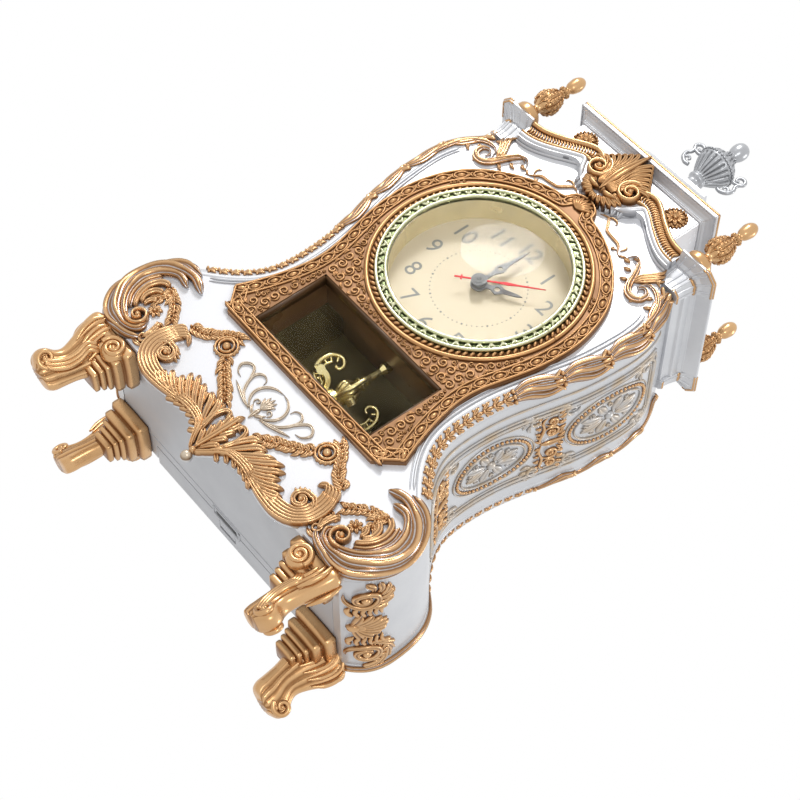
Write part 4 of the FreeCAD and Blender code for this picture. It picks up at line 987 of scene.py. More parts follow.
def plate_relief():
    """Rims with a chain between them, a field packed with small scrolls, and a fan over the dial."""
    r = Relief()
    r.band(plate_path(0.8), 1.4, 1.3, step=1.2)
    r.band(plate_path(6.6), 1.1, 1.1, step=1.2)
    chain(r, plate_path(3.7), 9.6, 1.2, 4.4)
    inner = plate_path(7.2)
    packed = []

    def room(x, z):
        """Clear distance from a point of the field to what bounds it."""
        edge = np.hypot(inner[:, 0] - x, inner[:, 1] - z).min()
        if x > np.interp(z, inner[1:, 1], inner[1:, 0], left=0, right=0):
            return 0.0
        box = hypot(max(x - WIN_HALF - 0.5, 0), max(Z_SILL - 0.5 - z, 0, z - Z_LINTEL - 0.5))
        return min(edge, box, hypot(x, z) - R_CLEAR)

    spots = [(x, z, room(x, z)) for z in np.arange(*FIELD_Z, FIELD_STEP)
             for x in np.arange(*FIELD_X, FIELD_STEP)]
    for radius in SCROLL_SIZES:
        for x, z, free in spots:
            if free >= radius and all(hypot(x - u, z - v) > 0.96 * (radius + q) for u, v, q in packed):
                packed.append((x, z, radius))
                spin, a = RNG.choice((-1, 1)), RNG.uniform(0, 360)
                r.strand(spiral(x, z, 0.92 * radius, 0.15 * radius, a, 1.6 * spin, n=18),
                         0.3 * radius + 0.25, 1.0, step=0.4)
                tail = [(0.92, 0), (1.12, 0.6), (1.25, 1.3)]
                r.leaf([polar(x, z, q * radius, radians(a) - t * spin) for q, t in tail],
                       0.5 * radius, 1.0, step=0.4)
    r.paired()
    boss = (0, PLATE_FOOT[1] + 3.7)
    r.bead(*boss, 2.6, 1.8, seg=18)
    r.band(spiral(*boss, 3.4, 3.4, 0, 1.0), 0.9, 1.1)
    for a in np.linspace(-1.15, 1.15, 7):
        r.leaf([(0, 60.5), upright(62, 4.2, 3.0, a), upright(61.5, 7.6, 8.0, a)], 2.8, 2.0,
               lift=0.4, step=0.5)
    return r


def dial_rings():
    """Smooth and roped rings round the bezel."""
    r = Relief()
    r.band(oval(0, 0, 53.6, 53.6, 97), 2.6, 1.7)
    twists = 96
    for i in range(twists):
        a = TAU * i / twists
        r.strand([polar(0, 0, 52.3, a), polar(0, 0, 51.0, a + 0.02), polar(0, 0, 49.9, a + 0.05)],
                 1.9, 1.5, step=0.5)
    return r


def window_reveal():
    """Brown lining of the cut through the front, from the plate to the chamber."""
    r = Relief()
    back, thick = 0.95 * (Y_PLATE - low("window_pane")[1]), 1
    for x0, x1, z0, z1 in ((-WIN_HALF, thick - WIN_HALF, Z_SILL, Z_LINTEL),
                           (WIN_HALF - thick, WIN_HALF, Z_SILL, Z_LINTEL),
                           (-WIN_HALF, WIN_HALF, Z_SILL, Z_SILL + thick),
                           (-WIN_HALF, WIN_HALF, Z_LINTEL - thick, Z_LINTEL)):
        edge = [(x0, z0), (x1, z0), (x1, z1), (x0, z1)]
        r.loft(np.array([[(x, z, d) for x, z in edge] for d in (-0.3, back)]), np.zeros((2, 4)))
    return r


piece("window_reveal", window_reveal(), on_plate, BROWN)
piece("plate_relief", plate_relief(), on_plate, PLATE_GILT)
piece("dial_rings", dial_rings(), on_plate, PLATE_GILT)


# Bezel: a turned ring with a pierced fret, its openings shown by a floor in painted shade
BEZEL_T = high("bezel_ring")[1] - low("bezel_ring")[1]
R_OUT = high("bezel_ring")[0]
R_IN = R_OUT - 6.5


def bezel():
    """Two round rims with crossed bars and beads between them, over a floor in painted shade."""
    r = Relief()
    mid = 0.5 * (R_OUT + R_IN)

    def ring(radius, wide, height, drop, shade=None):
        r.band(oval(0, 0, radius, radius, 145), wide, height, lift=BEZEL_T - drop, sink=0.0, shade=shade)

    # Painted shade: the floor ring is set fully dark, in place of the shade inside the openings.
    ring(mid, R_OUT - R_IN, 0.5, 2.2, shade=1.0)
    ring(R_OUT - 0.9, 1.9, 1.6, 1.6)
    ring(R_IN + 1.1, 2.1, 1.7, 1.5)
    count, lift = 54, BEZEL_T - 1.7
    pitch = TAU / count
    for i in range(count):
        a = pitch * i
        for s in (-1, 1):
            bar = [(R_IN + 1.8, a - 0.2 * s * pitch), (mid, a + 0.10 * s * pitch),
                   (R_OUT - 1.5, a + 0.36 * s * pitch)]
            r.strand([polar(0, 0, radius, b) for radius, b in bar], 1.4, 1.3, lift=lift, step=0.5)
        r.bead(*polar(0, 0, mid, a), 1.15, 1.7, lift=lift, seg=10, rows=3)
    return r


piece("bezel_fret", bezel(), on_plate, BEZEL_GILT, instead=["bezel_ring"])


# Dial print: twelve numbers and a minute ring of dots
R_NUMBER, NUMBER_H, R_DOTS = 33.5, 9.4, 23.5
TEXT_PER_HEIGHT, PRINT_T, PRINT_PROUD = 1.38, 0.04, 0.03


def dial_dots():
    r = Relief()
    for i in range(60):
        a = TAU * i / 60
        r.bead(*upright(0, R_DOTS, R_DOTS, a), 0.55 if i % 5 == 0 else 0.36, 0.06, seg=10, rows=2, sink=0.02)
    return r


piece("dial_dots", dial_dots(), on_dial, NUMERAL)


def number(hour):
    """One plain number, its middle on the number circle."""
    text = bpy.data.curves.new(f"numeral_{hour}", "FONT")
    text.body = str(hour)
    text.size = NUMBER_H * MM * TEXT_PER_HEIGHT
    text.extrude = PRINT_T * MM
    text.align_x = "CENTER"
    text.align_y = "CENTER"
    holder = link("numeral_form", text)
    mesh = bpy.data.meshes.new_from_object(holder.evaluated_get(bpy.context.evaluated_depsgraph_get()))
    bpy.data.objects.remove(holder)
    corners = [v.co for v in mesh.vertices]
    middle = 0.5 * (np.min(corners, axis=0) + np.max(corners, axis=0))
    x, z = upright(DZ, R_NUMBER, R_NUMBER, TAU * hour / 12)
    place = Matrix.Translation((x * MM, (Y_DIAL - PRINT_PROUD) * MM, z * MM))
    mesh.transform(place @ Matrix.Rotation(0.5 * pi, 4, "X") @ Matrix.Translation(-Vector(middle)))
    mesh.materials.clear()
    mesh.materials.append(NUMERAL)
    numeral = link(f"numeral_{hour}", mesh)
    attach(numeral, "case")


for hour in range(1, 13):
    number(hour)


# Stepped cap on the arbor, which turns with the second hand
cap = Relief()
for radius, height in ((3.9, 0.5), (2.9, 1.0), (1.6, 1.7)):
    cap.bead(0, 0, radius, height, seg=32, rows=4, sink=0.0)


def on_arbor(v):
    return on_front(v, low("second_hand")[1])


piece("arbor_cap", cap, on_arbor, HAND, body="second_hand")


# Turned pieces: finials and urn
def axis_of(node):
    return 0.5 * (low(node) + high(node))


def turned_profile(node, n=70):
    """Radius at each height of a turned solid, smoothed."""
    centre = axis_of(node)
    z0, z1 = low(node)[2] + 0.05, high(node)[2] - 0.05
    tree = BVHTree.FromObject(NODES[node], bpy.context.evaluated_depsgraph_get())
    z = np.linspace(z0, z1, n)
    r = np.zeros(n)
    for i, h in enumerate(z):
        for k in range(6):
            a = 0.05 + TAU * k / 6
            d = Vector((cos(a), sin(a), 0))
            hit = tree.ray_cast(Vector((centre[0], centre[1], h)) * MM + d * 0.06, -d)[0]
            if hit is not None:
                r[i] = max(r[i], hypot(hit.x / MM - centre[0], hit.y / MM - centre[1]))
    smooth = np.convolve(np.pad(r, 2, mode="edge"), [0.1, 0.2, 0.4, 0.2, 0.1], "valid")
    return np.stack([smooth, z], axis=1)


def lathe(r, profile, centre, seg=40, lobes=0, depth=None):
    """Rings about an upright axis; depth is how deep the lobes cut at each ring."""
    a = np.linspace(0, TAU, seg, endpoint=False)
    rings, hollow_shade = [], []
    for i, (radius, z) in enumerate(profile):
        cut = depth[i] if depth is not None else 0.0
        wave = 1.0 - np.abs(np.sin(0.5 * lobes * a)) if lobes else np.zeros(seg)
        rr = np.maximum(radius - cut * wave ** 1.5, 0.05)
        ring = [centre[0] + rr * np.cos(a), centre[1] + rr * np.sin(a), np.full(seg, z)]
        rings.append(np.stack(ring, axis=1))
        # Painted shade: deepest in the valleys between the lobes.
        hollow_shade.append(0.9 * wave * (cut > 0.05))
    r.loft(np.array(rings), np.array(hollow_shade))


def around(profile, centre, r_ref):
    """Ground of a turned form: across is an arc at radius r_ref, up is the height."""
    def place(v):
        radius = np.interp(v[:, 1], profile[:, 1], profile[:, 0]) + v[:, 2]
        a = v[:, 0] / r_ref
        return np.stack([centre[0] + radius * np.sin(a), centre[1] - radius * np.cos(a), v[:, 1]], axis=1)
    return place


def straight(v):
    """Ground of a form that is already in its place."""
    return v


def join(name, parts, material, instead):
    """One object from several reliefs that each have their own ground."""
    whole = Relief()
    for relief, place in parts:
        whole.put(place(np.vstack(relief.v)), relief.f, np.concatenate(relief.w))
    piece(name, whole, straight, material, instead=instead)


FINIAL = [(0.00, 7.0), (0.03, 7.15), (0.08, 7.1), (0.12, 6.0), (0.15, 4.0), (0.18, 2.7), (0.215, 2.5),
          (0.25, 3.2), (0.29, 4.7), (0.34, 5.4), (0.40, 5.8), (0.45, 5.2), (0.52, 4.1), (0.565, 3.4),
          (0.60, 2.5), (0.63, 2.3), (0.655, 3.1), (0.68, 2.9), (0.705, 1.9), (0.73, 2.2), (0.77, 3.1),
          (0.83, 3.6), (0.88, 3.7), (0.94, 3.0), (0.98, 1.8), (1.0, 0.3)]
for where in CORNERS:
    node = "finial_" + where
    centre = axis_of(node)
    z0, tall = low(node)[2], high(node)[2] - low(node)[2]
    profile = spline([(z0 + tall * h, r) for h, r in FINIAL], 0.4)[:, ::-1]
    body = Relief()
    lathe(body, profile, centre)
    bulb = Relief()
    lo, hi = z0 + 0.23 * tall, z0 + 0.57 * tall
    r_ref = 6.0
    for i in range(6):
        x = TAU * r_ref * i / 6
        for shift, base, tip, wide in ((0.0, lo, hi, 5.4), (0.5, lo + 3.0, hi + 1.5, 4.2)):
            px = x + shift * TAU * r_ref / 6
            bulb.leaf([(px, base), (px + 0.3, 0.5 * (base + tip)), (px, tip)], wide, 0.9, fat=0.5)
            for k in range(4):
                y = base + (0.14 + 0.19 * k) * (tip - base)
                for q in (-1, 1):
                    bulb.leaf([(px + 0.3 * q, y), (px + 1.6 * q, y + 1.0), (px + 2.9 * q, y + 2.4)],
                              1.6, 1.5, step=0.5)
    for i in range(10):
        bulb.pearl(TAU * r_ref * i / 10, z0 + 0.66 * tall, 1.7, 0.5)
    join(f"{node}_carved", [(body, straight), (bulb, around(profile, centre, r_ref))], GOLD, [node])

urn = turned_profile("urn_body", 90)
urn_axis = axis_of("urn_body")
urn_low = low("urn_body")[2]
urn_tall = high("urn_body")[2] - urn_low
share = (urn[:, 1] - urn_low) / urn_tall
bowl = np.interp(share, [0.36, 0.42, 0.66, 0.69, 0.71, 0.78, 0.82, 0.93, 0.97],
                 [0, 1.1, 1.1, 0, 0, 0, 0.9, 0.9, 0])
urn_form = Relief()
lathe(urn_form, urn, urn_axis, seg=160, lobes=20, depth=bowl)
trim = Relief()
r_ref = urn[:, 0].max()
for i in range(36):
    trim.pearl(TAU * r_ref * i / 36, urn_low + 0.735 * urn_tall, 0.85, 0.8)
for i in range(14):
    trim.pearl(TAU * r_ref * i / 14, urn_low + 0.985 * urn_tall, 2.0, 0.6)
join("urn_gadrooned", [(urn_form, straight), (trim, around(urn, urn_axis, r_ref))], URN_SILVER,
     ["urn_body"])

knob_form = Relief()
egg = turned_profile("urn_knob", 40)
egg[:, 0] *= np.interp(np.linspace(0, 1, 40), [0.0, 0.3, 1.0], [1.0, 0.84, 0.84])
lathe(knob_form, egg, urn_axis, seg=40)
piece("urn_egg", knob_form, straight, URN_SILVER, instead=["urn_knob"])


def tube(r, path, radius, seg=10):
    """A round rod along points in space."""
    c = spline(path, 0.6)
    d = np.gradient(c, axis=0)
    d /= np.linalg.norm(d, axis=1)[:, None]
    hold = [0.0, 1.0, 0.0] if np.abs(d[:, 1]).max() < 0.95 else [1.0, 0.0, 0.0]
    side = np.cross(d, hold)
    side /= np.linalg.norm(side, axis=1)[:, None] + 1e-9
    up = np.cross(side, d)
    a = np.linspace(0, TAU, seg, endpoint=False)
    rad = along(radius, np.linspace(0, 1, len(c)))
    rings = c[:, None, :] + rad[:, None, None] * (side[:, None, :] * np.cos(a)[None, :, None]
                                                 + up[:, None, :] * np.sin(a)[None, :, None])
    # An even, slight value of painted shade along the whole rod.
    r.loft(rings, np.full(rings.shape[:2], 0.15))


def urn_handles():
    """S-scrolls that leave the bowl, curl at both ends and touch the shoulder."""
    r = Relief()
    mid = urn_low + 24.4
    outer = high("urn_handles")[0] - 1.0
    scroll = [(10.6, -8.6), (13.4, -8.8), (16.4, -6.6), (17.2, -3.4), (16.0, -1.0), (outer - 1.4, 1.4),
              (outer, 3.6), (outer - 1.2, 5.8), (outer - 3.6, 6.0), (outer - 5.0, 4.4), (outer - 4.2, 2.6),
              (outer - 2.8, 3.2)]
    lower = [(16.4, -6.6), (14.6, -4.6), (12.8, -5.2), (13.0, -6.6)]
    upper = [(outer - 1.4, 1.4), (13.2, 0.6), (11.0, 1.2), (10.4, 3.2)]
    for s in (-1, 1):
        for path, radii in ((scroll, (1.1, 1.2, 1.0, 1.1, 1.0, 0.6)), (lower, (0.9, 0.8, 0.5)),
                            (upper, (0.9, 1.0, 0.8))):
            tube(r, [(urn_axis[0] + s * x, urn_axis[1], mid + z) for x, z in path], radii)
    return r


piece("urn_scroll_handles", urn_handles(), straight, URN_SILVER, instead=["urn_handles"])


# Side walls: a framed panel with two ovals, and gilt scrolls along the foot
SIDE_MID, SIDE_HALF = 46.0, 23.0
OVALS = ((18.0, 15.6, 22.5), (-45.0, 14.8, 20.5))


def side_silver():
    """Frame lines, the ovals' rims and flowers, and curls in the corners."""
    r = Relief()
    for grow, wide, height in ((0.0, 1.5, 1.3), (2.6, 0.9, 1.0), (-2.4, 0.8, 0.8)):
        r.band(rounded_frame(SIDE_MID - SIDE_HALF - grow, SIDE_MID + SIDE_HALF + grow, -90 - grow, 47 + grow,
                             9 + grow), wide, height, step=1.2)
    r.strand([(13.5, z) for z in np.linspace(-88, 52, 40)], 1.1, 0.9, ends=(0.02, 0.02), step=1.5)
    for cz, rx, rz in OVALS:
        r.band(oval(SIDE_MID, cz, rx - 2.6, rz - 2.6), 1.0, 1.3)
        r.band(oval(SIDE_MID, cz, rx + 2.2, rz + 2.2), 0.9, 0.9)
        for i in range(8):
            a = TAU * i / 8 + 0.39
            kx, kz = (rx - 4.4) / 11.0, (rz - 4.4) / 11.0
            r.leaf([polar(SIDE_MID, cz, m * kx, a, m * kz) for m in (2.4, 7.0, 10.6)], 5.0, 1.7, fat=0.6)
            b = a + TAU / 16
            r.strand(spiral(*polar(SIDE_MID, cz, 8.6 * kx, b, 8.6 * kz), 1.7, 0.4, degrees(b), 1.2, n=12),
                     0.9, 1.4, step=0.4)
        r.bead(SIDE_MID, cz, 2.6, 2.2)
    for x, z, spin in ((27, 40, 1), (65, 40, -1), (26, -4, -1), (66, -4, 1), (26, -22, 1), (66, -22, -1),
                       (27, -69, -1), (65, -69, 1)):
        r.strand(spiral(x, z, 4.4, 0.7, 90, 1.5 * spin), (1.6, 1.6, 1.0), 1.5)
        for a in (200, 250, 300):
            q = radians(a)
            r.leaf([polar(x, z, m, q + turn) for m, turn in ((3.4, 0.0), (5.8, 0.3), (7.6, 0.7))], 2.2, 1.4)
    return r


def side_gilt():
    """Pearls round the ovals, and scrolls with leaves below each."""
    r = Relief()
    for (cz, rx, rz), count in zip(OVALS, (52, 48)):
        r.pearls(SIDE_MID, cz, rx, rz, count, 1.05, 1.5)
    for z in (-13.5, -78.0):
        for s in (-1, 1):
            for x, turn, size in ((8.6, 1.5, 4.6), (16.6, -1.4, 3.4)):
                eye = (SIDE_MID + x * s, z - 0.5)
                start = 90 - 160 * s if turn > 0 else 90 + 160 * s
                r.strand(spiral(*eye, size, 0.8, start, turn * s), (1.5, 1.7, 1.2), 1.9)
                r.flower(*eye, 0.5 * size, 6, 2.1)
            stem = ((0, 5), (5, 6.4), (12, 4.6), (18, 5.4), (21, 2.6))
            r.strand([(SIDE_MID + x * s, z - drop) for x, drop in stem], (1.6, 1.8, 1.4), 1.8)
            for x, a in ((2.5, 70), (5.0, 45), (9.0, 80), (12.6, 60), (14.0, 100), (17.5, 70), (20.0, 40)):
                c, q = s * cos(radians(a)), sin(radians(a))
                u, v = SIDE_MID + x * s, z + 2.8
                r.leaf([(u, v), (u + 2.2 * c, v + 2.2 * q), (u + 4.4 * c + 0.8 * s, v + 4.0 * q)], 2.2, 1.8)
                r.leaf([(u, v - 8.6), (u + 1.6 * c, v - 8.6 - 1.6 * q), (u + 3.2 * c, v - 8.6 - 3.0 * q)],
                       1.8, 1.6)
        r.leaf([(SIDE_MID, z - 6), (SIDE_MID, z), (SIDE_MID, z + 7)], 3.6, 2.2)
    return r


def side_foot():
    """Volute, shell and volute along the lower edge of the side."""
    r = Relief()
    z, shell_x = -144.6, 43.5
    for x, s in ((20.0, 1), (67.0, -1)):
        r.strand(spiral(x, z, 7.6, 1.2, 250 if s > 0 else -70, 1.9 * s), (2.6, 2.9, 2.0), 3.0, cut=VEINED)
        r.bead(x, z, 2.0, 3.4)
        for i in range(6):
            q = radians(20 + 26 * i)
            r.blade([polar(x, z, 6.4, q, 6.0), polar(x, z, 9.6, q + 0.2, 9.4),
                     polar(x, z, 12.0, q + 0.5 * s, 13.0)], 3.2, 2.6)
        for k in range(6):
            r.strand([(x + 7.4 * s, z + 8 - 2.7 * k), (x + 10.8 * s, z + 6.2 - 2.5 * k),
                      (x + 14.6 * s, z + 6.6 - 2.2 * k)], 2.1, 2.2)
    for i in range(9):
        q = radians(10 + 20 * i)
        r.blade([(shell_x, z - 5.0), polar(shell_x, z - 4.2, 5.4, q, 6.4),
                 polar(shell_x, z - 4.0, 9.8, q, 14.0)], 3.3, 2.8)
    r.bead(shell_x, z - 4.4, 2.6, 3.4)
    return r


def side_ground(flip):
    """Ground of one side wall; flip is 1 on the right, -1 on the left."""
    return lambda v: on_side(v) * [flip, 1, 1]


silver_relief, gilt_relief, foot_relief = side_silver(), side_gilt(), side_foot()
for side, flip in SIDES:
    wall = side_ground(flip)
    piece(f"side_panel_{side}", silver_relief, wall, SILVER_GILT, instead=[f"side_relief_{side}"])
    piece(f"side_scrolls_{side}", gilt_relief, wall, LEAF_GILT)
    piece(f"side_foot_{side}", foot_relief, wall, LEAF_GILT)


# Revolving ornament: a ribbed bulb and C-scrolls on the stand
ROTOR = axis_of("rotor_scrolls")
Z_BULB = DZ - 79.0


def rotor_arm(turn, path):
    """A flat path stood up and turned about the ornament's axis."""
    return [(*polar(ROTOR[0], ROTOR[1], x, turn), Z_BULB + z) for x, z in path]


def rotor_carving():
    r = Relief()
    shares = np.linspace(0.04, 0.96, 26)
    shape = [(1.6 + 4.6 * sin(pi * q) ** 0.8, Z_BULB - 7 + 13 * q) for q in shares]
    lathe(r, shape, ROTOR, seg=120, lobes=12, depth=[0.8 * sin(pi * q) for q in shares])
    for z, radius in ((Z_BULB - 8.2, 4.2), (Z_BULB + 7.0, 3.6), (Z_BULB + 10.0, 2.8)):
        lathe(r, [(0.3, z - 0.9), (radius - 0.5, z - 0.8), (radius, z), (radius - 0.5, z + 0.8),
                  (0.3, z + 0.9)], ROTOR)
    curl = [(4.6, -9.0), (9.6, -11.2), (15.6, -9.4), (19.4, -4.0), (19.0, 3.0), (15.2, 6.8), (11.6, 5.4),
            (11.4, 2.2), (13.6, 1.6)]
    inner = [(6.0, -7.6), (10.4, -8.6), (14.4, -6.8), (16.6, -2.8), (16.0, 1.6)]
    ribs = [((9.6, -8.4), (9.4, -11.4)), ((12.6, -7.9), (13.4, -10.8)), ((14.8, -6.4), (17.2, -8.4)),
            ((16.2, -4.0), (19.4, -5.0)), ((16.6, -1.4), (19.8, -1.2)), ((16.2, 1.2), (19.4, 2.6)),
            ((14.6, 3.2), (16.8, 6.2))]
    for i in range(4):
        turn = TAU * i / 4 + 0.5
        tube(r, rotor_arm(turn, curl), (1.0, 1.3, 1.2, 1.1, 0.7))
        tube(r, rotor_arm(turn, inner), 0.7)
        for a, b in ribs:
            tube(r, rotor_arm(turn, [a, (0.5 * (a[0] + b[0]), 0.5 * (a[1] + b[1])), b]), (0.5, 0.8, 0.6))
    return r


piece("rotor_carving", rotor_carving(), straight, ROTOR_GILT, body="rotor")


# Softened edges of the plain mouldings
WELD_GAP, SOFT_EDGE, SOFT_ANGLE = 0.02 * MM, 0.6 * MM, radians(25)
PLAIN = ["entablature_left", "entablature_right", "cornice_block", "cornice_moulding",
         "bell_top", "base_panel"]
for node in [f"capital_{where}" for where in CORNERS] + PLAIN:
    weld = NODES[node].modifiers.new("weld", "WELD")
    weld.merge_threshold = WELD_GAP
    bevel = NODES[node].modifiers.new("soft_edge", "BEVEL")
    bevel.width = SOFT_EDGE
    bevel.segments = 3
    bevel.limit_method = "ANGLE"
    bevel.angle_limit = SOFT_ANGLE


# Capitals: gilt lines at the slab and the collar, and raised lines between the flutes
CAP = [(0.0, 0.07), (0.08, 0.01), (0.30, 0.03), (0.62, 0.14), (0.70, 0.14), (0.72, 0.25), (0.80, 0.42),
       (0.89, 0.78), (0.93, 0.95), (1.0, 1.0)]
CAP_IN, CAP_CORE, FLARE, CAP_H = 54.0, 13.5, 9.0, 16.4


def cap_point(where, h, share):
    """Point on a capital's skin at a share of the way from its inner front edge round to its back."""
    lo, hi = low(f"capital_{where}"), high(f"capital_{where}")
    sx = 1 if where.endswith("right") else -1
    front = where.startswith("front")
    out = FLARE * float(np.interp(h, [a for a, _ in CAP], [b for _, b in CAP]))
    face, back, sy = (lo[1], hi[1], 1) if front else (hi[1], lo[1], -1)
    x1, y1, c = CAP_IN + CAP_CORE + out, face + sy * (FLARE - out), 2.0 + 0.27 * out
    turn = [(CAP_IN, y1), (x1 - c, y1), (x1, y1 + sy * c), (x1, back)]
    steps = np.concatenate([[0], np.cumsum([dist(a, b) for a, b in zip(turn, turn[1:])])])
    s = share * steps[-1]
    x, y = (float(np.interp(s, steps, [p[i] for p in turn])) for i in (0, 1))
    return sx * x, y, lo[2] + h * CAP_H


for where in CORNERS:
    lines, flutes = Relief(), Relief()
    for h, thick in ((0.045, 0.7), (0.66, 0.75), (0.925, 0.55), (0.985, 0.6)):
        tube(lines, [cap_point(where, h, q) for q in np.linspace(0.005, 0.995, 34)], thick)
    for q in (0.1, 0.3, 0.46, 0.56, 0.72, 0.9):
        tube(flutes, [cap_point(where, h, q) for h in np.linspace(0.07, 0.64, 8)], 0.55)
        tube(flutes, [cap_point(where, h, q) for h in np.linspace(0.70, 0.90, 6)], 0.5)
    piece(f"capital_lines_{where}", lines, straight, GOLD)
    piece(f"capital_flutes_{where}", flutes, straight, SILVER)


# Cornice: a gilt line on its upper edge, silver lines below it and on the block
def rim(r, node, z, grow, thick):
    """A round line along the four sides of a block."""
    lo, hi = low(node), high(node)
    x, y0, y1 = hi[0] + grow, lo[1] - grow, hi[1] + grow
    ring = [(-x, y0), (x, y0), (x, y1), (-x, y1)]
    for a, b in zip(ring, ring[1:] + ring[:1]):
        tube(r, [(*p, z) for p in np.linspace(a, b, 6)], thick)


gilt, grey = Relief(), Relief()
rim(gilt, "cornice_moulding", high("cornice_moulding")[2] - 0.2, -0.3, 0.75)
rim(grey, "cornice_moulding", high("cornice_moulding")[2] - 2.6, 0.0, 0.45)
rim(grey, "cornice_block", high("cornice_block")[2] + 1.1, 0.9, 0.5)
piece("cornice_gilt_line", gilt, straight, GOLD)
piece("cornice_lines", grey, straight, SILVER)


# Underside: a framed slot over the cover's latch, the slot a flat black strip of painted shade
def under(v):
    """Ground of the base, seen from above."""
    return np.stack([v[:, 0], v[:, 1], Z_BASE - v[:, 2]], axis=1)


Y_LATCH = low("latch_tab")[1] - 3.2
slot = Relief()
# Painted shade: a flat black strip in place of the dark inside the slot's opening.
slot.band([(-8.0, Y_LATCH), (8.0, Y_LATCH)], 3.2, 0.12, step=4.0, sink=0.0)
piece("latch_slot", slot, under, BLACK)
surround = Relief()
surround.band(rounded_frame(-10.4, 10.4, Y_LATCH - 3.4, Y_LATCH + 2.6, 1.2), 1.3, 0.5, step=0.8, sink=0.0)
surround.band([(-80.0, Y_LATCH - 5.6), (80.0, Y_LATCH - 5.6)], 0.8, 0.3, step=5.0, sink=0.0)
piece("latch_surround", surround, under, GREY)


# Feet: rounded steps, a fluted scroll leg, and volutes at the knee and the toe
FOOT_X, FOOT_IN, SPLAY = 74.5, 13.5, radians(38.0)
STEPS = [(12.5, 0.0, 7.0), (10.6, 7.0, 12.4), (8.4, 12.4, 15.4), (7.2, 15.4, 18.4), (6.2, 18.4, 22.0)]
KNEE = [(19, 1.0), (23, -2), (23.2, -6), (21.5, -12), (18.5, -19), (16.8, -25), (17.8, -28.8), (20.6, -32),
        (21.8, -35.5), (20.5, -39), (16, -41.2)]
HEEL = [(-4, 1.0), (-5, -4), (-5, -8), (-3.2, -14), (-1.6, -20), (0, -26), (0.6, -30), (1, -34), (1.5, -38),
        (3.5, -40.8), (8, -41.3)]


def across_leg(reach, z, off):
    """Point of the leg: its reach, its height and how far off its middle plane."""
    c, s = cos(SPLAY), sin(SPLAY)
    return reach * c - off * s, reach * s + off * c, z


def leg(path, off):
    return [across_leg(x, z, off) for x, z in path]


def foot():
    r = Relief()
    seg = 48
    a = np.linspace(0, TAU, seg, endpoint=False)
    square = np.maximum(np.abs(np.cos(a)), np.abs(np.sin(a)))
    shape = 1.0 / (0.86 * square + 0.14)
    rings, hollow_shade = [], []
    for half, h0, h1 in STEPS:
        mid = -12.5 + 0.9 * (12.5 - half) + half
        for q in np.linspace(0.0, 1.0, 7):
            swell = sqrt(max(0.0, 1.0 - (2 * q - 1) ** 4))
            size = half - 1.5 * (1.0 - swell)
            rings.append(np.stack([mid + size * shape * np.cos(a), mid + size * shape * np.sin(a),
                                   np.full(seg, -h0 - q * (h1 - h0))], axis=1))
            # Painted shade: darker in the creases between the steps.
            hollow_shade.append(np.full(seg, 0.7 * (1.0 - swell) ** 0.5))
    r.loft(np.array(rings), np.array(hollow_shade))
    rows, seg = 60, 96
    t = np.linspace(0, 1, rows)
    knee, heel = spline(KNEE, 1.0), spline(HEEL, 1.0)
    out = np.stack([along(knee[:, i], t) for i in (0, 1)], axis=1)
    back = np.stack([along(heel[:, i], t) for i in (0, 1)], axis=1)
    wide = along((5.2, 5.4, 5.2, 4.9, 4.7, 4.6, 4.8, 5.2, 5.5, 5.4, 4.4), t)
    a = np.linspace(0, TAU, seg, endpoint=False)
    u = np.sign(np.cos(a)) * np.abs(np.cos(a)) ** 0.7
    v = np.sign(np.sin(a)) * np.abs(np.sin(a)) ** 0.7
    flute = 0.5 * (1.0 - np.cos(TAU * 2.5 * u)) * np.abs(v) ** 2
    rings = np.zeros((rows, seg, 3))
    for i in range(rows):
        reach, z = (0.5 * (out[i, k] + back[i, k]) + 0.5 * (out[i, k] - back[i, k]) * u for k in (0, 1))
        rings[i] = np.stack(across_leg(reach, z, wide[i] * v - 0.9 * flute * np.sign(v)), axis=1)
    # Painted shade: darker down the flutes' hollows.
    r.loft(rings, np.tile(0.65 * flute, (rows, 1)))
    for side in (-1, 1):
        tube(r, leg(spiral(16.6, -35.0, 5.0, 1.0, 200, 1.35), 5.0 * side), (1.2, 1.3, 0.9))
        tube(r, leg([(16.6, -34.0), (16.7, -35.0), (16.9, -36.0)], 5.0 * side), (0.3, 1.7, 0.3))
        for k in range(4):
            x = 20.5 - 4.2 * k
            ridge = [(x - 1.0, -1.5), (x + 0.4, -6.5), (x - 0.6, -12.5), (x - 3.8 + 0.5 * k, -18.5)]
            tube(r, leg(ridge, (4.9 - 0.1 * k) * side), (0.8, 1.3, 1.3, 0.5))
    curve = [(10.5, -11), (13.0, -15), (11.5, -21), (11.5, -27), (13.5, -32.5), (16.5, -36.5)]
    for k in range(3):
        d = 2.3 * k
        tube(r, leg([(x - 0.8 * d, z - 0.2 * d) for x, z in curve], 5.1), (1.0, 1.5, 1.3, 1.2, 1.1))
    kx, kz = -3, -7.2
    tube(r, [(kx + x, 13.1, kz + z) for x, z in spiral(0, 0, 6.1, 1.2, -20, 2.0, n=40)],
         (1.35, 1.25, 1.1, 0.9))
    tube(r, [(kx, y, kz) for y in (11.0, 12.8, 13.6, 14.2)], (1.6, 2.0, 1.5, 0.3))
    tube(r, [(kx, y, kz) for y in (9.0, 11.9, 12.4, 12.7)], (6.4, 6.4, 6.0, 4.8), seg=32)
    return r


def foot_ground(where):
    """Under one corner of the case, turned outwards."""
    sx = -1 if where.endswith("left") else 1
    sy, y_foot = (-1, YF + FOOT_IN) if where.startswith("front") else (1, YR - FOOT_IN)
    return lambda v: np.stack([sx * (FOOT_X + v[:, 0]), y_foot + sy * v[:, 1], Z_BASE + v[:, 2]], axis=1)


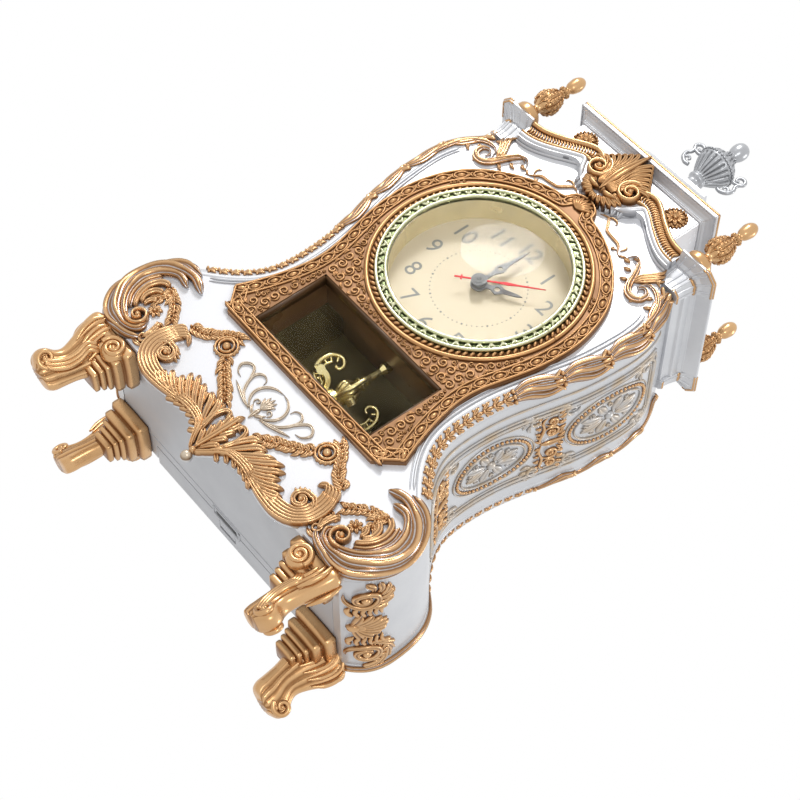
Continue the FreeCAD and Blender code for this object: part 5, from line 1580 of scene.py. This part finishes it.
one_foot = foot()
for where in CORNERS:
    piece(f"foot_{where}_carved", one_foot, foot_ground(where), FOOT_GILT, instead=[f"foot_{where}"])


# Stage: a pale floor that shows from above only, soft light and the photograph's camera
def floor_look():
    """Pale and even, and clear when seen from below."""
    mat, tree, shader = blank("pale_floor")
    shader.inputs["Roughness"].default_value = 0.9
    shader.inputs["Specular IOR Level"].default_value = 0.0
    tone = mix(tree, "RGBA", noise(tree, 6.0), (0.80, 0.80, 0.80, 1), (0.83, 0.83, 0.83, 1))
    tree.links.new(tone, shader.inputs["Base Color"])
    shader.inputs["Emission Color"].default_value = (1, 1, 1, 1)
    shader.inputs["Emission Strength"].default_value = 0.5
    see_through(tree, shader, tree.nodes.new("ShaderNodeNewGeometry").outputs["Backfacing"])
    return mat


floor_mesh = bpy.data.meshes.new("floor")
FLOOR = 4
floor_mesh.from_pydata([(-FLOOR, -FLOOR, 0), (FLOOR, -FLOOR, 0), (FLOOR, FLOOR, 0), (-FLOOR, FLOOR, 0)], [],
                       [(0, 1, 2, 3)])
floor_mesh.materials.append(floor_look())
floor = link("floor", floor_mesh)
floor.visible_shadow = False
floor.visible_diffuse = False
floor.visible_glossy = False

world = bpy.data.worlds.new("soft_white")
world.use_nodes = True
bpy.context.scene.world = world
tree = world.node_tree
ground = tree.nodes["Background"]
ground.inputs["Color"].default_value = (1, 1, 1, 1)
path = tree.nodes.new("ShaderNodeLightPath")
seen = path.outputs["Is Camera Ray"]
for ray in ("Is Glossy Ray", "Is Transmission Ray"):
    most = tree.nodes.new("ShaderNodeMath")
    most.operation = "MAXIMUM"
    tree.links.new(seen, most.inputs[0])
    tree.links.new(path.outputs[ray], most.inputs[1])
    seen = most.outputs[0]
FILL = 0.6
tree.links.new(remap(tree, seen, 0.0, 1.0, FILL, 1.0), ground.inputs["Strength"])

TARGET = Vector((0.0, 0.0, 0.185))


def lamp(name, direction, distance, size, watts):
    """A round soft light that faces the middle of the object."""
    data = bpy.data.lights.new(name, "AREA")
    data.shape = "DISK"
    data.size = size
    data.energy = watts
    obj = link(name, data)
    obj.location = TARGET + Vector(direction).normalized() * distance
    obj.rotation_euler = (TARGET - obj.location).to_track_quat("-Z", "Y").to_euler()


lamp("key", (-0.50, -0.78, 0.55), 1.6, 0.4, 13.0)
lamp("strip", (0.55, -0.75, -0.10), 1.6, 0.25, 4.5)
lamp("rim", (0.75, 0.35, 0.60), 1.6, 0.4, 5.0)

CAM_RIGHT = (0.6235, -0.0021, 0.7818)
CAM_DOWN = (0.6323, 0.5896, -0.5027)
CAM_FORWARD = (-0.4598, 0.8077, 0.3689)
CAM_PLACE = Vector((464.3, -754.7 + YF, -420.5 + DZ)) * MM
CAM_FOCAL_PX, PHOTO_PX, SENSOR = 2067.04, 800.0, 36.0
camera_data = bpy.data.cameras.new("photo_camera")
camera_data.sensor_width = SENSOR
camera_data.lens = CAM_FOCAL_PX * SENSOR / PHOTO_PX
camera_data.clip_start = 0.01
camera = link("photo_camera", camera_data)
axes = Matrix((CAM_RIGHT, [-v for v in CAM_DOWN], [-v for v in CAM_FORWARD])).transposed()
camera.matrix_world = Matrix.Translation(CAM_PLACE) @ axes.to_4x4()
scene = bpy.context.scene
scene.camera = camera
scene.view_settings.view_transform = "Standard"
